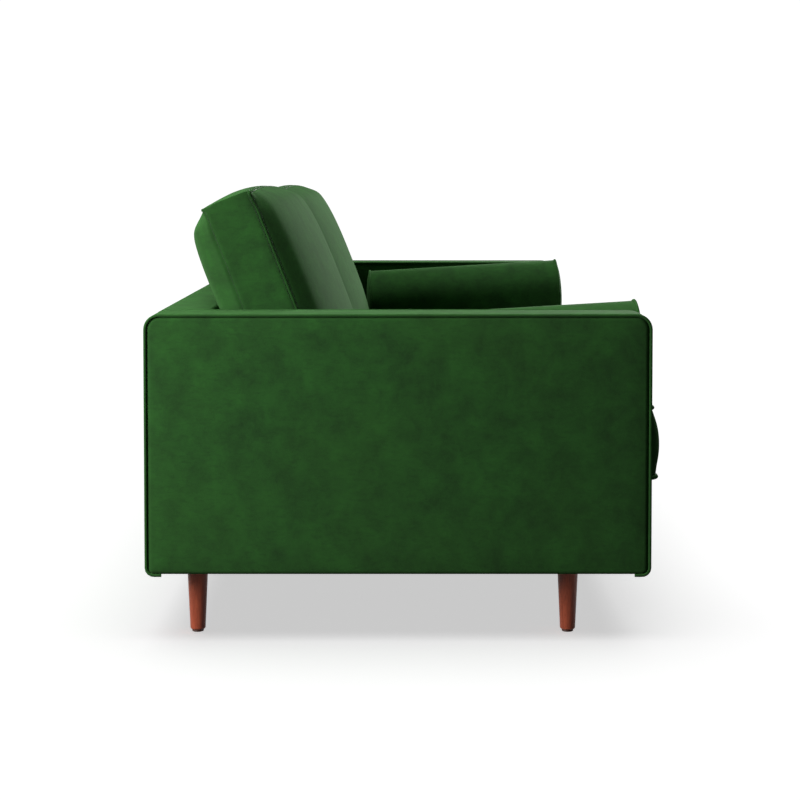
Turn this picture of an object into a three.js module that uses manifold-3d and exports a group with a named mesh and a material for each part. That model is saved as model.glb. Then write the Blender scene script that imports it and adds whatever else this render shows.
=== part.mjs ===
// A sofa with a hardwood frame on turned legs, a sprung seat, velvet covers and loose cushions.
// Millimetres. +X runs along the width, -Y is the front, +Z is up and the floor is Z = 0.
// "left" is the -X side, as seen by someone who faces the sofa.
import * as THREE from "three";
import { mergeVertices } from "three/addons/utils/BufferGeometryUtils.js";
import Module from "manifold-3d";

const wasm = await Module();
wasm.setup();

const { degToRad } = THREE.MathUtils;

// Overall sizes
const WIDTH = 2235;
const DEPTH = 974; // front of the seat cushion to the rear cover
const ARM_HEIGHT = 610; // the arms and the back finish level
const LEG_HEIGHT = 125; // floor to the underside
const DECK_HEIGHT = 283.4; // floor to the front edge of the deck
const SEAT_SLOPE = degToRad(3.4); // the deck falls towards the rear
const SEAT_OVERHANG = 34; // the seat cushion's swollen front stands this far proud of the arms

// Fits
const TOUCH = 0.3; // gap kept between pieces that bear on each other
const BORE_CLEARANCE = 0.4; // added to the radius of what goes through a bore
const MERGE_DISTANCE = 1e-3; // vertices closer than this are one

// Legs
const LEG_TOP_RADIUS = 20;
const LEG_FOOT_RADIUS = 14.5;
const LEG_FOOT_ROUND = 3;
const FRONT_LEG_INSET = 147; // arm's front face to the front legs' axis
const REAR_LEG_INSET = 89; // rear face to the rear legs' axis
const CENTRE_LEG_INSET = 403; // arm's front face to the centre leg's axis
const GLIDE_RADIUS = 11;
const GLIDE_THICKNESS = 4;
const GLIDE_CHAMFER = 1;
const NAIL_RADIUS = 1.6;
const NAIL_LENGTH = 14;
const HANGER_RADIUS = 4;
const HANGER_DEPTH = 30; // each way from the leg's top face
const BLIND_BORE_SPARE = 2; // a blind bore is this much deeper than what goes in

// Arms
const ARM_THICKNESS = 125;
const ARM_CORNER_RADIUS = 28;
const ARM_PANEL = 20;
const ARM_BAND = 14;
const ARM_POST = 45;
const ARM_TOP_RAIL = 35;
const ARM_BOTTOM_RAIL_WIDTH = 45;
const ARM_BOTTOM_RAIL_HEIGHT = 60;
const ARM_BOLT_RADIUS = 5;
const ARM_BOLT_HEAD_RADIUS = 11;
const ARM_BOLT_HEAD = 5;
const ARM_BOLT_NUT_RADIUS = 9.5;
const ARM_BOLT_NUT = 8;
const FRONT_ARM_BOLT_INSET = 228; // arm's front face to the front bolts' axis
const REAR_ARM_BOLT_INSET = 262; // rear face to the rear bolts' axis

// Back
const BACK_THICKNESS = 115;
const BACK_EDGE_RADIUS = 25;
const BACK_REAR_COVER = 10;
const BACK_TOP_COVER = 14;
const BACK_PAD = 30;
const BACK_PAD_SLOPE = degToRad(13);
const BACK_UPRIGHT = 45;
const BACK_TOP_RAIL = 50;

// Seat frame and deck
const FRONT_COVER = 11;
const SEAT_RAIL = 30;
const SIDE_RAIL = 28;
const CENTRE_RAIL = 44;
const REAR_RAIL_INSET = 156.5; // rear face to the rear rail's rear face
const DECK_COVER = 3;
const DUST_COVER = 1.5;
const SPRINGS_PER_HALF = 4;
const SPRING_WIRE = 4;
const SPRING_SWING = 22; // how far the wire runs to each side of the spring's line
const SPRING_WAVES = 8;
const SPRING_WAVE_STEPS = 6;

// Cushions
const SEAT_BOXING = 134;
const SEAT_FRONT_SWELL = 8.5;
const SEAT_TOP_SWELL = 24;
const SEAT_SIDE_SWELL = 2.5;
const SEAT_SIDE_CLEARANCE = 4.5;
const SEAT_REAR_CLEARANCE = 15;
const BACK_CUSHION_LEAN = degToRad(21.4);
const BACK_CUSHION_HEIGHT = 459; // along the front seam
const BACK_CUSHION_BOXING = 99;
const BACK_CUSHION_FRONT_SWELL = 85;
const BACK_CUSHION_REAR_SWELL = 45;
const BACK_CUSHION_TOP_SWELL = 33;
const BACK_CUSHION_SIDE_SWELL = 2.5;
const BACK_CUSHION_SIDE_CLEARANCE = 9.5; // to the arm
const BACK_CUSHION_MID_CLEARANCE = 4; // to the sofa's middle
const BACK_CUSHION_LEAN_CLEARANCE = 7; // swollen rear to the top edge of the back
const BACK_CUSHION_FOOT_CLEARANCE = 2; // foot to the top of the swollen seat cushion
const BOLSTER_RADIUS = 92;
const BOLSTER_DOME = 16;
const BOLSTER_ARM_CLEARANCE = 3;
const BOLSTER_SEAT_CLEARANCE = 21; // above the seat cushion's seams
const BOLSTER_BACK_CLEARANCE = 1; // rear rim to where the back cushion swells the most

// Smoothness
const ARC_STEPS = 6;
const LEG_SIDES = 20;
const SMALL_SIDES = 12;
const BOLSTER_SIDES = 28;
const DOME_STEPS = 3;
const SEAT_CUSHION_SEGMENTS = [16, 8, 2];
const BACK_CUSHION_SEGMENTS = [10, 2, 8];

// Places worked out from the sizes
const REAR_Y = DEPTH / 2;
const FRONT_Y = -DEPTH / 2 + SEAT_OVERHANG;
const ARM_OUTER_X = WIDTH / 2;
const ARM_INNER_X = ARM_OUTER_X - ARM_THICKNESS;
const ARM_CORE_INNER_X = ARM_INNER_X + ARM_PANEL + TOUCH;
const ARM_CORE_OUTER_X = ARM_OUTER_X - ARM_PANEL - TOUCH;
const LEG_X = ARM_CORE_INNER_X + ARM_BOTTOM_RAIL_WIDTH / 2;
const SEAT_HALF_X = ARM_INNER_X - TOUCH;
const DUST_COVER_Z = LEG_HEIGHT + TOUCH;
const FRAME_Z = DUST_COVER_Z + DUST_COVER + TOUCH;
const CORE_FRONT_Y = FRONT_Y + ARM_BAND + TOUCH;
const CORE_REAR_Y = REAR_Y - ARM_BAND - TOUCH;
const FRONT_RAIL_Y = FRONT_Y + FRONT_COVER + TOUCH;
const SIDE_RAIL_FRONT_Y = FRONT_RAIL_Y + SEAT_RAIL + TOUCH;
const REAR_RAIL_REAR_Y = REAR_Y - REAR_RAIL_INSET;
const REAR_RAIL_FRONT_Y = REAR_RAIL_REAR_Y - SEAT_RAIL;
const SIDE_RAIL_REAR_Y = REAR_RAIL_FRONT_Y - TOUCH;
const ARM_TOP_RAIL_Z = ARM_HEIGHT - ARM_BAND - TOUCH - ARM_TOP_RAIL;
const ARM_BOLT_Z = FRAME_Z + ARM_BOTTOM_RAIL_HEIGHT / 2;
const BACK_FRONT_Y = REAR_Y - BACK_THICKNESS;
const BACK_PAD_TOP_Z = ARM_HEIGHT - BACK_TOP_COVER - TOUCH;
const BACK_TOP_RAIL_Z = BACK_PAD_TOP_Z - BACK_TOP_RAIL;
const BACK_FRAME_REAR_Y = REAR_Y - BACK_REAR_COVER - TOUCH;

const FINISHES = {
  velvet: { color: 0x2a5424, roughness: 0.92, metalness: 0 },
  stainedWood: { color: 0x7a4630, roughness: 0.42, metalness: 0 },
  frameWood: { color: 0xc9a877, roughness: 0.75, metalness: 0 },
  steel: { color: 0x9b9b98, roughness: 0.35, metalness: 1 },
  plastic: { color: 0x1d1d1f, roughness: 0.5, metalness: 0 },
  lining: { color: 0x222222, roughness: 0.95, metalness: 0 },
};

const LEGS = [
  { place: "front_left", x: -LEG_X, y: FRONT_Y + FRONT_LEG_INSET },
  { place: "front_right", x: LEG_X, y: FRONT_Y + FRONT_LEG_INSET },
  { place: "rear_left", x: -LEG_X, y: REAR_Y - REAR_LEG_INSET },
  { place: "rear_right", x: LEG_X, y: REAR_Y - REAR_LEG_INSET },
  { place: "centre", x: 0, y: FRONT_Y + CENTRE_LEG_INSET },
];

const ARM_BOLTS = [
  { place: "front", y: FRONT_Y + FRONT_ARM_BOLT_INSET },
  { place: "rear", y: REAR_Y - REAR_ARM_BOLT_INSET },
];

const SIDES = [
  { side: "left", sign: -1 },
  { side: "right", sign: 1 },
];

// --- Planes and lines of the seat and back ---

// Height of the deck's upper face, or of a plane the given distance above it, at depth y.
function deckZ(y, above = 0) {
  return DECK_HEIGHT + above / Math.cos(SEAT_SLOPE) - (y - FRONT_Y) * Math.tan(SEAT_SLOPE);
}

// Depth of the padded back's front face, or of a face behind it, at height z.
function backPadY(z, behind = 0) {
  const slopeBack = (BACK_PAD_TOP_Z - z) * Math.tan(BACK_PAD_SLOPE);
  return BACK_FRONT_Y - slopeBack + behind / Math.cos(BACK_PAD_SLOPE);
}

// Where the padded back's front face meets the deck.
function backPadFoot() {
  const run = backPadY(0) - FRONT_Y;
  const z =
    (DECK_HEIGHT - run * Math.tan(SEAT_SLOPE)) /
    (1 + Math.tan(BACK_PAD_SLOPE) * Math.tan(SEAT_SLOPE));
  return { y: backPadY(z), z };
}

// Depth of the back cushions' front seam line at height z, or of the rear one.
function backCushionY(z, fromRearSeam = BACK_CUSHION_BOXING) {
  const off = BACK_CUSHION_REAR_SWELL + BACK_CUSHION_LEAN_CLEARANCE + fromRearSeam;
  return (
    BACK_FRONT_Y -
    off / Math.cos(BACK_CUSHION_LEAN) +
    (z - ARM_HEIGHT) * Math.tan(BACK_CUSHION_LEAN)
  );
}

// Foot of the back cushions' front seam, just above the swollen seat cushion.
function backCushionFoot() {
  const above = TOUCH + SEAT_BOXING + SEAT_TOP_SWELL + BACK_CUSHION_FOOT_CLEARANCE;
  const slope = Math.tan(SEAT_SLOPE);
  const z = deckZ(backCushionY(0), above) / (1 + Math.tan(BACK_CUSHION_LEAN) * slope);
  return { y: backCushionY(z), z };
}

// --- Geometry ---

function piece(name, geometry, finish, position = [0, 0, 0]) {
  const mesh = new THREE.Mesh(geometry, new THREE.MeshStandardMaterial(FINISHES[finish]));
  mesh.name = name;
  mesh.position.set(...position);
  return mesh;
}

function group(...members) {
  const holder = new THREE.Group();
  members.forEach((member) => holder.add(member));
  return holder;
}

function toSolid(geometry) {
  const bare = geometry.clone();
  bare.deleteAttribute("normal");
  bare.deleteAttribute("uv");
  const merged = mergeVertices(bare, MERGE_DISTANCE);
  const mesh = new wasm.Mesh({
    numProp: 3,
    vertProperties: merged.getAttribute("position").array,
    triVerts: new Uint32Array(merged.index.array),
  });
  return new wasm.Manifold(mesh);
}

function toGeometry(solid) {
  const { vertProperties, triVerts } = solid.getMesh();
  const geometry = new THREE.BufferGeometry();
  geometry.setAttribute("position", new THREE.BufferAttribute(vertProperties, 3));
  geometry.setIndex(new THREE.BufferAttribute(triVerts, 1));
  return geometry;
}

function drilled(geometry, bores) {
  const solid = bores.reduce((left, bore) => left.subtract(toSolid(bore)), toSolid(geometry));
  return toGeometry(solid);
}

// A box between two values on each axis, with bores given in the same frame.
function block(name, finish, [x0, x1], [y0, y1], [z0, z1], bores = []) {
  const centre = [(x0 + x1) / 2, (y0 + y1) / 2, (z0 + z1) / 2];
  const box = new THREE.BoxGeometry(x1 - x0, y1 - y0, z1 - z0);
  const moved = bores.map((bore) => bore.clone().translate(...centre.map((value) => -value)));
  return piece(name, bores.length ? drilled(box, moved) : box, finish, centre);
}

// The same span on the left or the right side, lower value first.
function onSide(sign, inner, outer) {
  return sign < 0 ? [-outer, -inner] : [inner, outer];
}

function rodAlongX(radius, [x0, x1], y, z) {
  const rod = new THREE.CylinderGeometry(radius, radius, x1 - x0, SMALL_SIDES);
  return rod.rotateZ(Math.PI / 2).translate((x0 + x1) / 2, y, z);
}

function rodAlongZ(radius, x, y, [z0, z1]) {
  const rod = new THREE.CylinderGeometry(radius, radius, z1 - z0, SMALL_SIDES);
  return rod.rotateX(Math.PI / 2).translate(x, y, (z0 + z1) / 2);
}

// A turned piece: [radius, height] pairs from one end of its axis to the other, standing on Z.
function turned(profile, sides) {
  const points = profile.map(([radius, height]) => new THREE.Vector2(radius, height));
  return new THREE.LatheGeometry(points, sides).rotateX(Math.PI / 2);
}

// A shape drawn in depth and height, extruded along the width.
function extrudedAlongX(shape, [x0, x1]) {
  const settings = { depth: x1 - x0, bevelEnabled: false, curveSegments: ARC_STEPS };
  const upright = new THREE.Matrix4().makeBasis(
    new THREE.Vector3(0, 1, 0),
    new THREE.Vector3(0, 0, 1),
    new THREE.Vector3(1, 0, 0),
  );
  return new THREE.ExtrudeGeometry(shape, settings).applyMatrix4(upright).translate(x0, 0, 0);
}

function polygon(points) {
  return new THREE.Shape(points.map(([y, z]) => new THREE.Vector2(y, z)));
}

// --- Legs ---

function legGeometry() {
  const foot = GLIDE_THICKNESS + TOUCH;
  const nailBore = NAIL_RADIUS + BORE_CLEARANCE;
  const nailTop = GLIDE_THICKNESS + NAIL_LENGTH + BLIND_BORE_SPARE;
  const hangerBore = HANGER_RADIUS + BORE_CLEARANCE;
  const hangerFoot = LEG_HEIGHT - HANGER_DEPTH - BLIND_BORE_SPARE;
  const profile = [
    [0, nailTop],
    [nailBore, nailTop],
    [nailBore, foot],
    [LEG_FOOT_RADIUS - LEG_FOOT_ROUND, foot],
    [LEG_FOOT_RADIUS, foot + LEG_FOOT_ROUND],
    [LEG_TOP_RADIUS, LEG_HEIGHT],
    [hangerBore, LEG_HEIGHT],
    [hangerBore, hangerFoot],
    [0, hangerFoot],
  ];
  return turned(profile, LEG_SIDES);
}

function glideGeometry() {
  const nailTip = GLIDE_THICKNESS + NAIL_LENGTH;
  const profile = [
    [0, 0],
    [GLIDE_RADIUS - GLIDE_CHAMFER, 0],
    [GLIDE_RADIUS, GLIDE_CHAMFER],
    [GLIDE_RADIUS, GLIDE_THICKNESS],
    [NAIL_RADIUS, GLIDE_THICKNESS],
    [NAIL_RADIUS, nailTip - NAIL_RADIUS],
    [0, nailTip],
  ];
  return turned(profile, SMALL_SIDES);
}

function hangerGeometry() {
  return rodAlongZ(HANGER_RADIUS, 0, 0, [LEG_HEIGHT - HANGER_DEPTH, LEG_HEIGHT + HANGER_DEPTH]);
}

function makeLeg({ place, x, y }) {
  const leg = group(
    piece(`leg_${place}`, legGeometry(), "stainedWood"),
    piece(`glide_${place}`, glideGeometry(), "plastic"),
    piece(`leg_bolt_${place}`, hangerGeometry(), "steel"),
  );
  leg.position.set(x, y, 0);
  return leg;
}

// The bore that takes the top half of a leg's bolt, in the rail above it.
function hangerBore({ x, y }) {
  const top = LEG_HEIGHT + HANGER_DEPTH + BLIND_BORE_SPARE;
  return rodAlongZ(HANGER_RADIUS + BORE_CLEARANCE, x, y, [LEG_HEIGHT, top]);
}

// --- Arms ---

// Outline of an arm seen from the side: up the rear from height z0, over the top and down the front.
function armOutline(z0) {
  const r = ARM_CORNER_RADIUS;
  const shape = new THREE.Shape();
  shape.moveTo(REAR_Y, z0);
  shape.lineTo(REAR_Y, ARM_HEIGHT - r);
  shape.absarc(REAR_Y - r, ARM_HEIGHT - r, r, 0, Math.PI / 2, false);
  shape.absarc(FRONT_Y + r, ARM_HEIGHT - r, r, Math.PI / 2, Math.PI, false);
  shape.lineTo(FRONT_Y, z0);
  return shape;
}

// The band goes up the front, over the top and down the rear.
function armBandShape() {
  const outer = ARM_CORNER_RADIUS;
  const inner = outer - ARM_BAND;
  const z = ARM_HEIGHT - outer;
  const shape = armOutline(LEG_HEIGHT);
  shape.lineTo(FRONT_Y + ARM_BAND, LEG_HEIGHT);
  shape.absarc(FRONT_Y + outer, z, inner, Math.PI, Math.PI / 2, true);
  shape.absarc(REAR_Y - outer, z, inner, Math.PI / 2, 0, true);
  shape.lineTo(REAR_Y - ARM_BAND, LEG_HEIGHT);
  return shape;
}

function armBoltSpan() {
  return { from: SEAT_HALF_X - SIDE_RAIL, to: ARM_CORE_INNER_X + ARM_BOTTOM_RAIL_WIDTH };
}

// The bores that the arm bolts pass through, on one side.
function armBoltBores(sign) {
  const { from, to } = armBoltSpan();
  const span = onSide(sign, from - ARM_BOLT_HEAD, to + ARM_BOLT_NUT);
  const radius = ARM_BOLT_RADIUS + BORE_CLEARANCE;
  return ARM_BOLTS.map(({ y }) => rodAlongX(radius, span, y, ARM_BOLT_Z));
}

// A headed bolt that lies along X, its head towards the sofa's middle and its nut in the arm.
function armBoltGeometry(sign) {
  const { from, to } = armBoltSpan();
  const grip = to - from + 2 * TOUCH;
  const profile = [
    [0, -ARM_BOLT_HEAD],
    [ARM_BOLT_HEAD_RADIUS, -ARM_BOLT_HEAD],
    [ARM_BOLT_HEAD_RADIUS, 0],
    [ARM_BOLT_RADIUS, 0],
    [ARM_BOLT_RADIUS, grip],
    [ARM_BOLT_NUT_RADIUS, grip],
    [ARM_BOLT_NUT_RADIUS, grip + ARM_BOLT_NUT],
    [0, grip + ARM_BOLT_NUT],
  ];
  return turned(profile, SMALL_SIDES).rotateY((sign * Math.PI) / 2);
}

function makeArmBolts(side, sign) {
  const x = sign * (armBoltSpan().from - TOUCH);
  const bolts = ARM_BOLTS.map(({ place, y }) =>
    piece(`arm_bolt_${side}_${place}`, armBoltGeometry(sign), "steel", [x, y, ARM_BOLT_Z]),
  );
  return group(...bolts);
}

function makeArmFrame(side, sign) {
  const across = onSide(sign, ARM_CORE_INNER_X, ARM_CORE_OUTER_X);
  const railAcross = onSide(sign, ARM_CORE_INNER_X, ARM_CORE_INNER_X + ARM_BOTTOM_RAIL_WIDTH);
  const postHeight = [FRAME_Z, ARM_TOP_RAIL_Z - TOUCH];
  const frontPost = [CORE_FRONT_Y, CORE_FRONT_Y + ARM_POST];
  const rearPost = [CORE_REAR_Y - ARM_POST, CORE_REAR_Y];
  const topRail = [FRONT_Y + ARM_CORNER_RADIUS, REAR_Y - ARM_CORNER_RADIUS];
  const bottomRail = [frontPost[1] + TOUCH, rearPost[0] - TOUCH];
  const bores = LEGS.filter(({ x }) => x * sign > 0).map(hangerBore).concat(armBoltBores(sign));
  const railHeight = [FRAME_Z, FRAME_Z + ARM_BOTTOM_RAIL_HEIGHT];
  const topRailHeight = [ARM_TOP_RAIL_Z, ARM_TOP_RAIL_Z + ARM_TOP_RAIL];
  return group(
    block(`arm_${side}_front_post`, "frameWood", across, frontPost, postHeight),
    block(`arm_${side}_rear_post`, "frameWood", across, rearPost, postHeight),
    block(`arm_${side}_top_rail`, "frameWood", across, topRail, topRailHeight),
    block(`arm_${side}_bottom_rail`, "frameWood", railAcross, bottomRail, railHeight, bores),
  );
}

function makeArmCovers(side, sign) {
  const outer = extrudedAlongX(
    armOutline(LEG_HEIGHT),
    onSide(sign, ARM_OUTER_X - ARM_PANEL, ARM_OUTER_X),
  );
  const inner = extrudedAlongX(
    armOutline(FRAME_Z),
    onSide(sign, ARM_INNER_X, ARM_INNER_X + ARM_PANEL),
  );
  const band = extrudedAlongX(armBandShape(), onSide(sign, ARM_CORE_INNER_X, ARM_CORE_OUTER_X));
  return group(
    piece(`arm_${side}_outer_panel`, outer, "velvet"),
    piece(`arm_${side}_inner_panel`, drilled(inner, armBoltBores(sign)), "velvet"),
    piece(`arm_${side}_band`, band, "velvet"),
  );
}

function makeArm({ side, sign }) {
  return group(makeArmFrame(side, sign), makeArmCovers(side, sign), makeArmBolts(side, sign));
}

// --- Seat frame ---

// The top of a rail that reaches back to y and carries the springs' wire.
function railTopZ(y) {
  return deckZ(y, -(DECK_COVER + TOUCH + SPRING_WIRE + TOUCH));
}

function makeSeatFrame() {
  const across = [-SEAT_HALF_X, SEAT_HALF_X];
  const frontRail = [FRONT_RAIL_Y, FRONT_RAIL_Y + SEAT_RAIL];
  const rearRail = [REAR_RAIL_FRONT_Y, REAR_RAIL_REAR_Y];
  const between = [SIDE_RAIL_FRONT_Y, SIDE_RAIL_REAR_Y];
  const betweenHeight = [FRAME_Z, railTopZ(SIDE_RAIL_REAR_Y)];
  const sideRails = SIDES.map(({ side, sign }) => {
    const span = onSide(sign, SEAT_HALF_X - SIDE_RAIL, SEAT_HALF_X);
    return block(`seat_${side}_rail`, "frameWood", span, between, betweenHeight, armBoltBores(sign));
  });
  const centreSpan = [-CENTRE_RAIL / 2, CENTRE_RAIL / 2];
  const centreBores = LEGS.filter(({ x }) => x === 0).map(hangerBore);
  return group(
    block("seat_front_rail", "frameWood", across, frontRail, [FRAME_Z, railTopZ(frontRail[1])]),
    block("seat_rear_rail", "frameWood", across, rearRail, [FRAME_Z, railTopZ(rearRail[1])]),
    block("seat_centre_rail", "frameWood", centreSpan, between, betweenHeight, centreBores),
    ...sideRails,
  );
}

// --- Springs ---

// A wire bent from side to side along +Y, drawn from above.
function springShape(length) {
  const steps = SPRING_WAVES * SPRING_WAVE_STEPS;
  const turns = 2 * Math.PI * SPRING_WAVES;
  const edge = (offset) =>
    Array.from({ length: steps + 1 }, (_, i) => {
      const t = i / steps;
      const across = (turns / length) * SPRING_SWING * Math.cos(turns * t);
      const normal = new THREE.Vector2(1, -across).normalize();
      const middle = new THREE.Vector2(SPRING_SWING * Math.sin(turns * t), length * t);
      return middle.addScaledVector(normal, offset);
    });
  return new THREE.Shape([...edge(SPRING_WIRE / 2), ...edge(-SPRING_WIRE / 2).reverse()]);
}

function makeSprings() {
  const y0 = FRONT_RAIL_Y + SEAT_RAIL / 2;
  const y1 = REAR_RAIL_REAR_Y - SEAT_RAIL / 2;
  const length = (y1 - y0) / Math.cos(SEAT_SLOPE);
  const z = deckZ(y0, -(DECK_COVER + TOUCH + SPRING_WIRE));
  const pitch = SEAT_HALF_X / SPRINGS_PER_HALF;
  const springs = group();
  SIDES.forEach(({ side, sign }) => {
    for (let i = 0; i < SPRINGS_PER_HALF; i++) {
      const wire = new THREE.ExtrudeGeometry(springShape(length), {
        depth: SPRING_WIRE,
        bevelEnabled: false,
      });
      const spring = piece(`seat_spring_${side}_${i + 1}`, wire, "steel", [
        sign * pitch * (i + 0.5),
        y0,
        z,
      ]);
      spring.rotation.x = -SEAT_SLOPE;
      springs.add(spring);
    }
  });
  return springs;
}

// --- Back ---

// Cover over the back's rear and top, rounded where they meet.
function backCoverShape() {
  const r = BACK_EDGE_RADIUS;
  const underTop = ARM_HEIGHT - BACK_TOP_COVER;
  const shape = new THREE.Shape();
  shape.moveTo(REAR_Y - BACK_REAR_COVER, LEG_HEIGHT);
  shape.lineTo(REAR_Y, LEG_HEIGHT);
  shape.lineTo(REAR_Y, ARM_HEIGHT - r);
  shape.absarc(REAR_Y - r, ARM_HEIGHT - r, r, 0, Math.PI / 2, false);
  shape.lineTo(BACK_FRONT_Y, ARM_HEIGHT);
  shape.lineTo(BACK_FRONT_Y, underTop);
  shape.lineTo(REAR_Y - BACK_REAR_COVER, underTop);
  return shape;
}

function backPadShape() {
  const foot = backPadFoot();
  const z0 = foot.z + TOUCH;
  return polygon([
    [backPadY(z0), z0],
    [backPadY(z0, BACK_PAD), z0],
    [backPadY(BACK_PAD_TOP_Z, BACK_PAD), BACK_PAD_TOP_Z],
    [backPadY(BACK_PAD_TOP_Z), BACK_PAD_TOP_Z],
  ]);
}

// An upright stands behind the rear rail and follows the pad's slope above it.
function backUprightShape() {
  const front = REAR_RAIL_REAR_Y + TOUCH;
  const behind = BACK_PAD + TOUCH;
  const top = BACK_TOP_RAIL_Z - TOUCH;
  const bend = BACK_PAD_TOP_Z - (backPadY(BACK_PAD_TOP_Z, behind) - front) / Math.tan(BACK_PAD_SLOPE);
  return polygon([
    [front, FRAME_Z],
    [BACK_FRAME_REAR_Y, FRAME_Z],
    [BACK_FRAME_REAR_Y, top],
    [backPadY(top, behind), top],
    [front, bend],
  ]);
}

function makeBack() {
  const across = [-SEAT_HALF_X, SEAT_HALF_X];
  const railDepth = [backPadY(BACK_PAD_TOP_Z, BACK_PAD + TOUCH), BACK_FRAME_REAR_Y];
  const railHeight = [BACK_TOP_RAIL_Z, BACK_PAD_TOP_Z];
  const upright = (place, span) =>
    piece(`back_upright_${place}`, extrudedAlongX(backUprightShape(), span), "frameWood");
  const sideUprights = SIDES.map(({ side, sign }) =>
    upright(side, onSide(sign, SEAT_HALF_X - BACK_UPRIGHT, SEAT_HALF_X)),
  );
  return group(
    block("back_top_rail", "frameWood", across, railDepth, railHeight),
    upright("centre", [-BACK_UPRIGHT / 2, BACK_UPRIGHT / 2]),
    ...sideUprights,
    piece("back_inner_pad", extrudedAlongX(backPadShape(), across), "velvet"),
    piece("back_outer_cover", extrudedAlongX(backCoverShape(), across), "velvet"),
  );
}

// --- Covers of the seat frame ---

function deckCoverShape() {
  const rear = REAR_RAIL_REAR_Y;
  return polygon([
    [FRONT_Y, deckZ(FRONT_Y, -DECK_COVER)],
    [rear, deckZ(rear, -DECK_COVER)],
    [rear, deckZ(rear)],
    [FRONT_Y, deckZ(FRONT_Y)],
  ]);
}

function makeDustCover() {
  const half = ARM_CORE_OUTER_X;
  const height = [DUST_COVER_Z, DUST_COVER_Z + DUST_COVER];
  const bores = LEGS.map(hangerBore);
  return block("dust_cover", "lining", [-half, half], [CORE_FRONT_Y, CORE_REAR_Y], height, bores);
}

function makeSeatCovers() {
  const across = [-SEAT_HALF_X, SEAT_HALF_X];
  const coverRear = FRONT_Y + FRONT_COVER;
  const coverTop = deckZ(coverRear, -(DECK_COVER + TOUCH));
  return group(
    piece("deck_cover", extrudedAlongX(deckCoverShape(), across), "lining"),
    block("front_rail_cover", "velvet", across, [FRONT_Y, coverRear], [LEG_HEIGHT, coverTop]),
    makeDustCover(),
  );
}

// --- Cushions ---

// How far a face has swollen, as a share of its middle's swell; u and v run from -1 to 1.
function swellShare(u, v) {
  return Math.sqrt(Math.max(0, (1 - u * u) * (1 - v * v)));
}

// A stuffed box whose faces swell between their seams. Its front face is at -Y.
function stuffedBox([width, depth, height], segments, swell) {
  const geometry = new THREE.BoxGeometry(width, depth, height, ...segments);
  const position = geometry.getAttribute("position");
  const onFace = (value) => (Math.abs(value) > 1 - MERGE_DISTANCE ? Math.sign(value) : 0);
  for (let i = 0; i < position.count; i++) {
    const u = (2 * position.getX(i)) / width;
    const v = (2 * position.getY(i)) / depth;
    const w = (2 * position.getZ(i)) / height;
    const endwise = onFace(v) < 0 ? swell.front : swell.rear;
    const upward = onFace(w) > 0 ? swell.top : 0;
    position.setX(i, position.getX(i) + onFace(u) * swell.side * swellShare(v, w));
    position.setY(i, position.getY(i) + onFace(v) * endwise * swellShare(u, w));
    position.setZ(i, position.getZ(i) + onFace(w) * upward * swellShare(u, v));
  }
  return geometry;
}

// Depth of the seat cushion's lower front seam, with the swell above it at the sofa's very front.
function seatFrontSeamY() {
  const swell = SEAT_FRONT_SWELL * Math.cos(SEAT_SLOPE);
  const leanBack = (SEAT_BOXING / 2) * Math.sin(SEAT_SLOPE);
  return -DEPTH / 2 + swell - leanBack;
}

function makeSeatCushion() {
  const frontY = seatFrontSeamY();
  const width = 2 * (ARM_INNER_X - SEAT_SIDE_CLEARANCE);
  const depth = (backPadFoot().y - SEAT_REAR_CLEARANCE - frontY) / Math.cos(SEAT_SLOPE);
  const swell = {
    front: SEAT_FRONT_SWELL,
    rear: 0,
    top: SEAT_TOP_SWELL,
    side: SEAT_SIDE_SWELL,
  };
  const body = stuffedBox([width, depth, SEAT_BOXING], SEAT_CUSHION_SEGMENTS, swell);
  body.translate(0, depth / 2, SEAT_BOXING / 2);
  const cushion = piece("seat_cushion", body, "velvet", [0, frontY, deckZ(frontY, TOUCH)]);
  cushion.rotation.x = -SEAT_SLOPE;
  return cushion;
}

// Cuts the foot of a back cushion parallel to the seat, with the front seam's foot where it was.
function slopeFoot(geometry, depth, height) {
  const position = geometry.getAttribute("position");
  const rise = Math.tan(BACK_CUSHION_LEAN - SEAT_SLOPE);
  for (let i = 0; i < position.count; i++) {
    const share = 1 - position.getZ(i) / height;
    const lift = Math.max(0, share) * rise * (position.getY(i) + depth);
    position.setZ(i, position.getZ(i) + lift);
  }
}

function makeBackCushion({ side, sign }) {
  const inner = BACK_CUSHION_MID_CLEARANCE;
  const outer = ARM_INNER_X - BACK_CUSHION_SIDE_CLEARANCE;
  const swell = {
    front: BACK_CUSHION_FRONT_SWELL,
    rear: BACK_CUSHION_REAR_SWELL,
    top: BACK_CUSHION_TOP_SWELL,
    side: BACK_CUSHION_SIDE_SWELL,
  };
  const size = [outer - inner, BACK_CUSHION_BOXING, BACK_CUSHION_HEIGHT];
  const body = stuffedBox(size, BACK_CUSHION_SEGMENTS, swell);
  body.translate(0, -BACK_CUSHION_BOXING / 2, BACK_CUSHION_HEIGHT / 2);
  slopeFoot(body, BACK_CUSHION_BOXING, BACK_CUSHION_HEIGHT);
  const foot = backCushionFoot();
  const cushion = piece(`back_cushion_${side}`, body, "velvet", [
    (sign * (inner + outer)) / 2,
    foot.y + BACK_CUSHION_BOXING * Math.cos(BACK_CUSHION_LEAN),
    foot.z - BACK_CUSHION_BOXING * Math.sin(BACK_CUSHION_LEAN),
  ]);
  cushion.rotation.x = -BACK_CUSHION_LEAN;
  return cushion;
}

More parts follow.
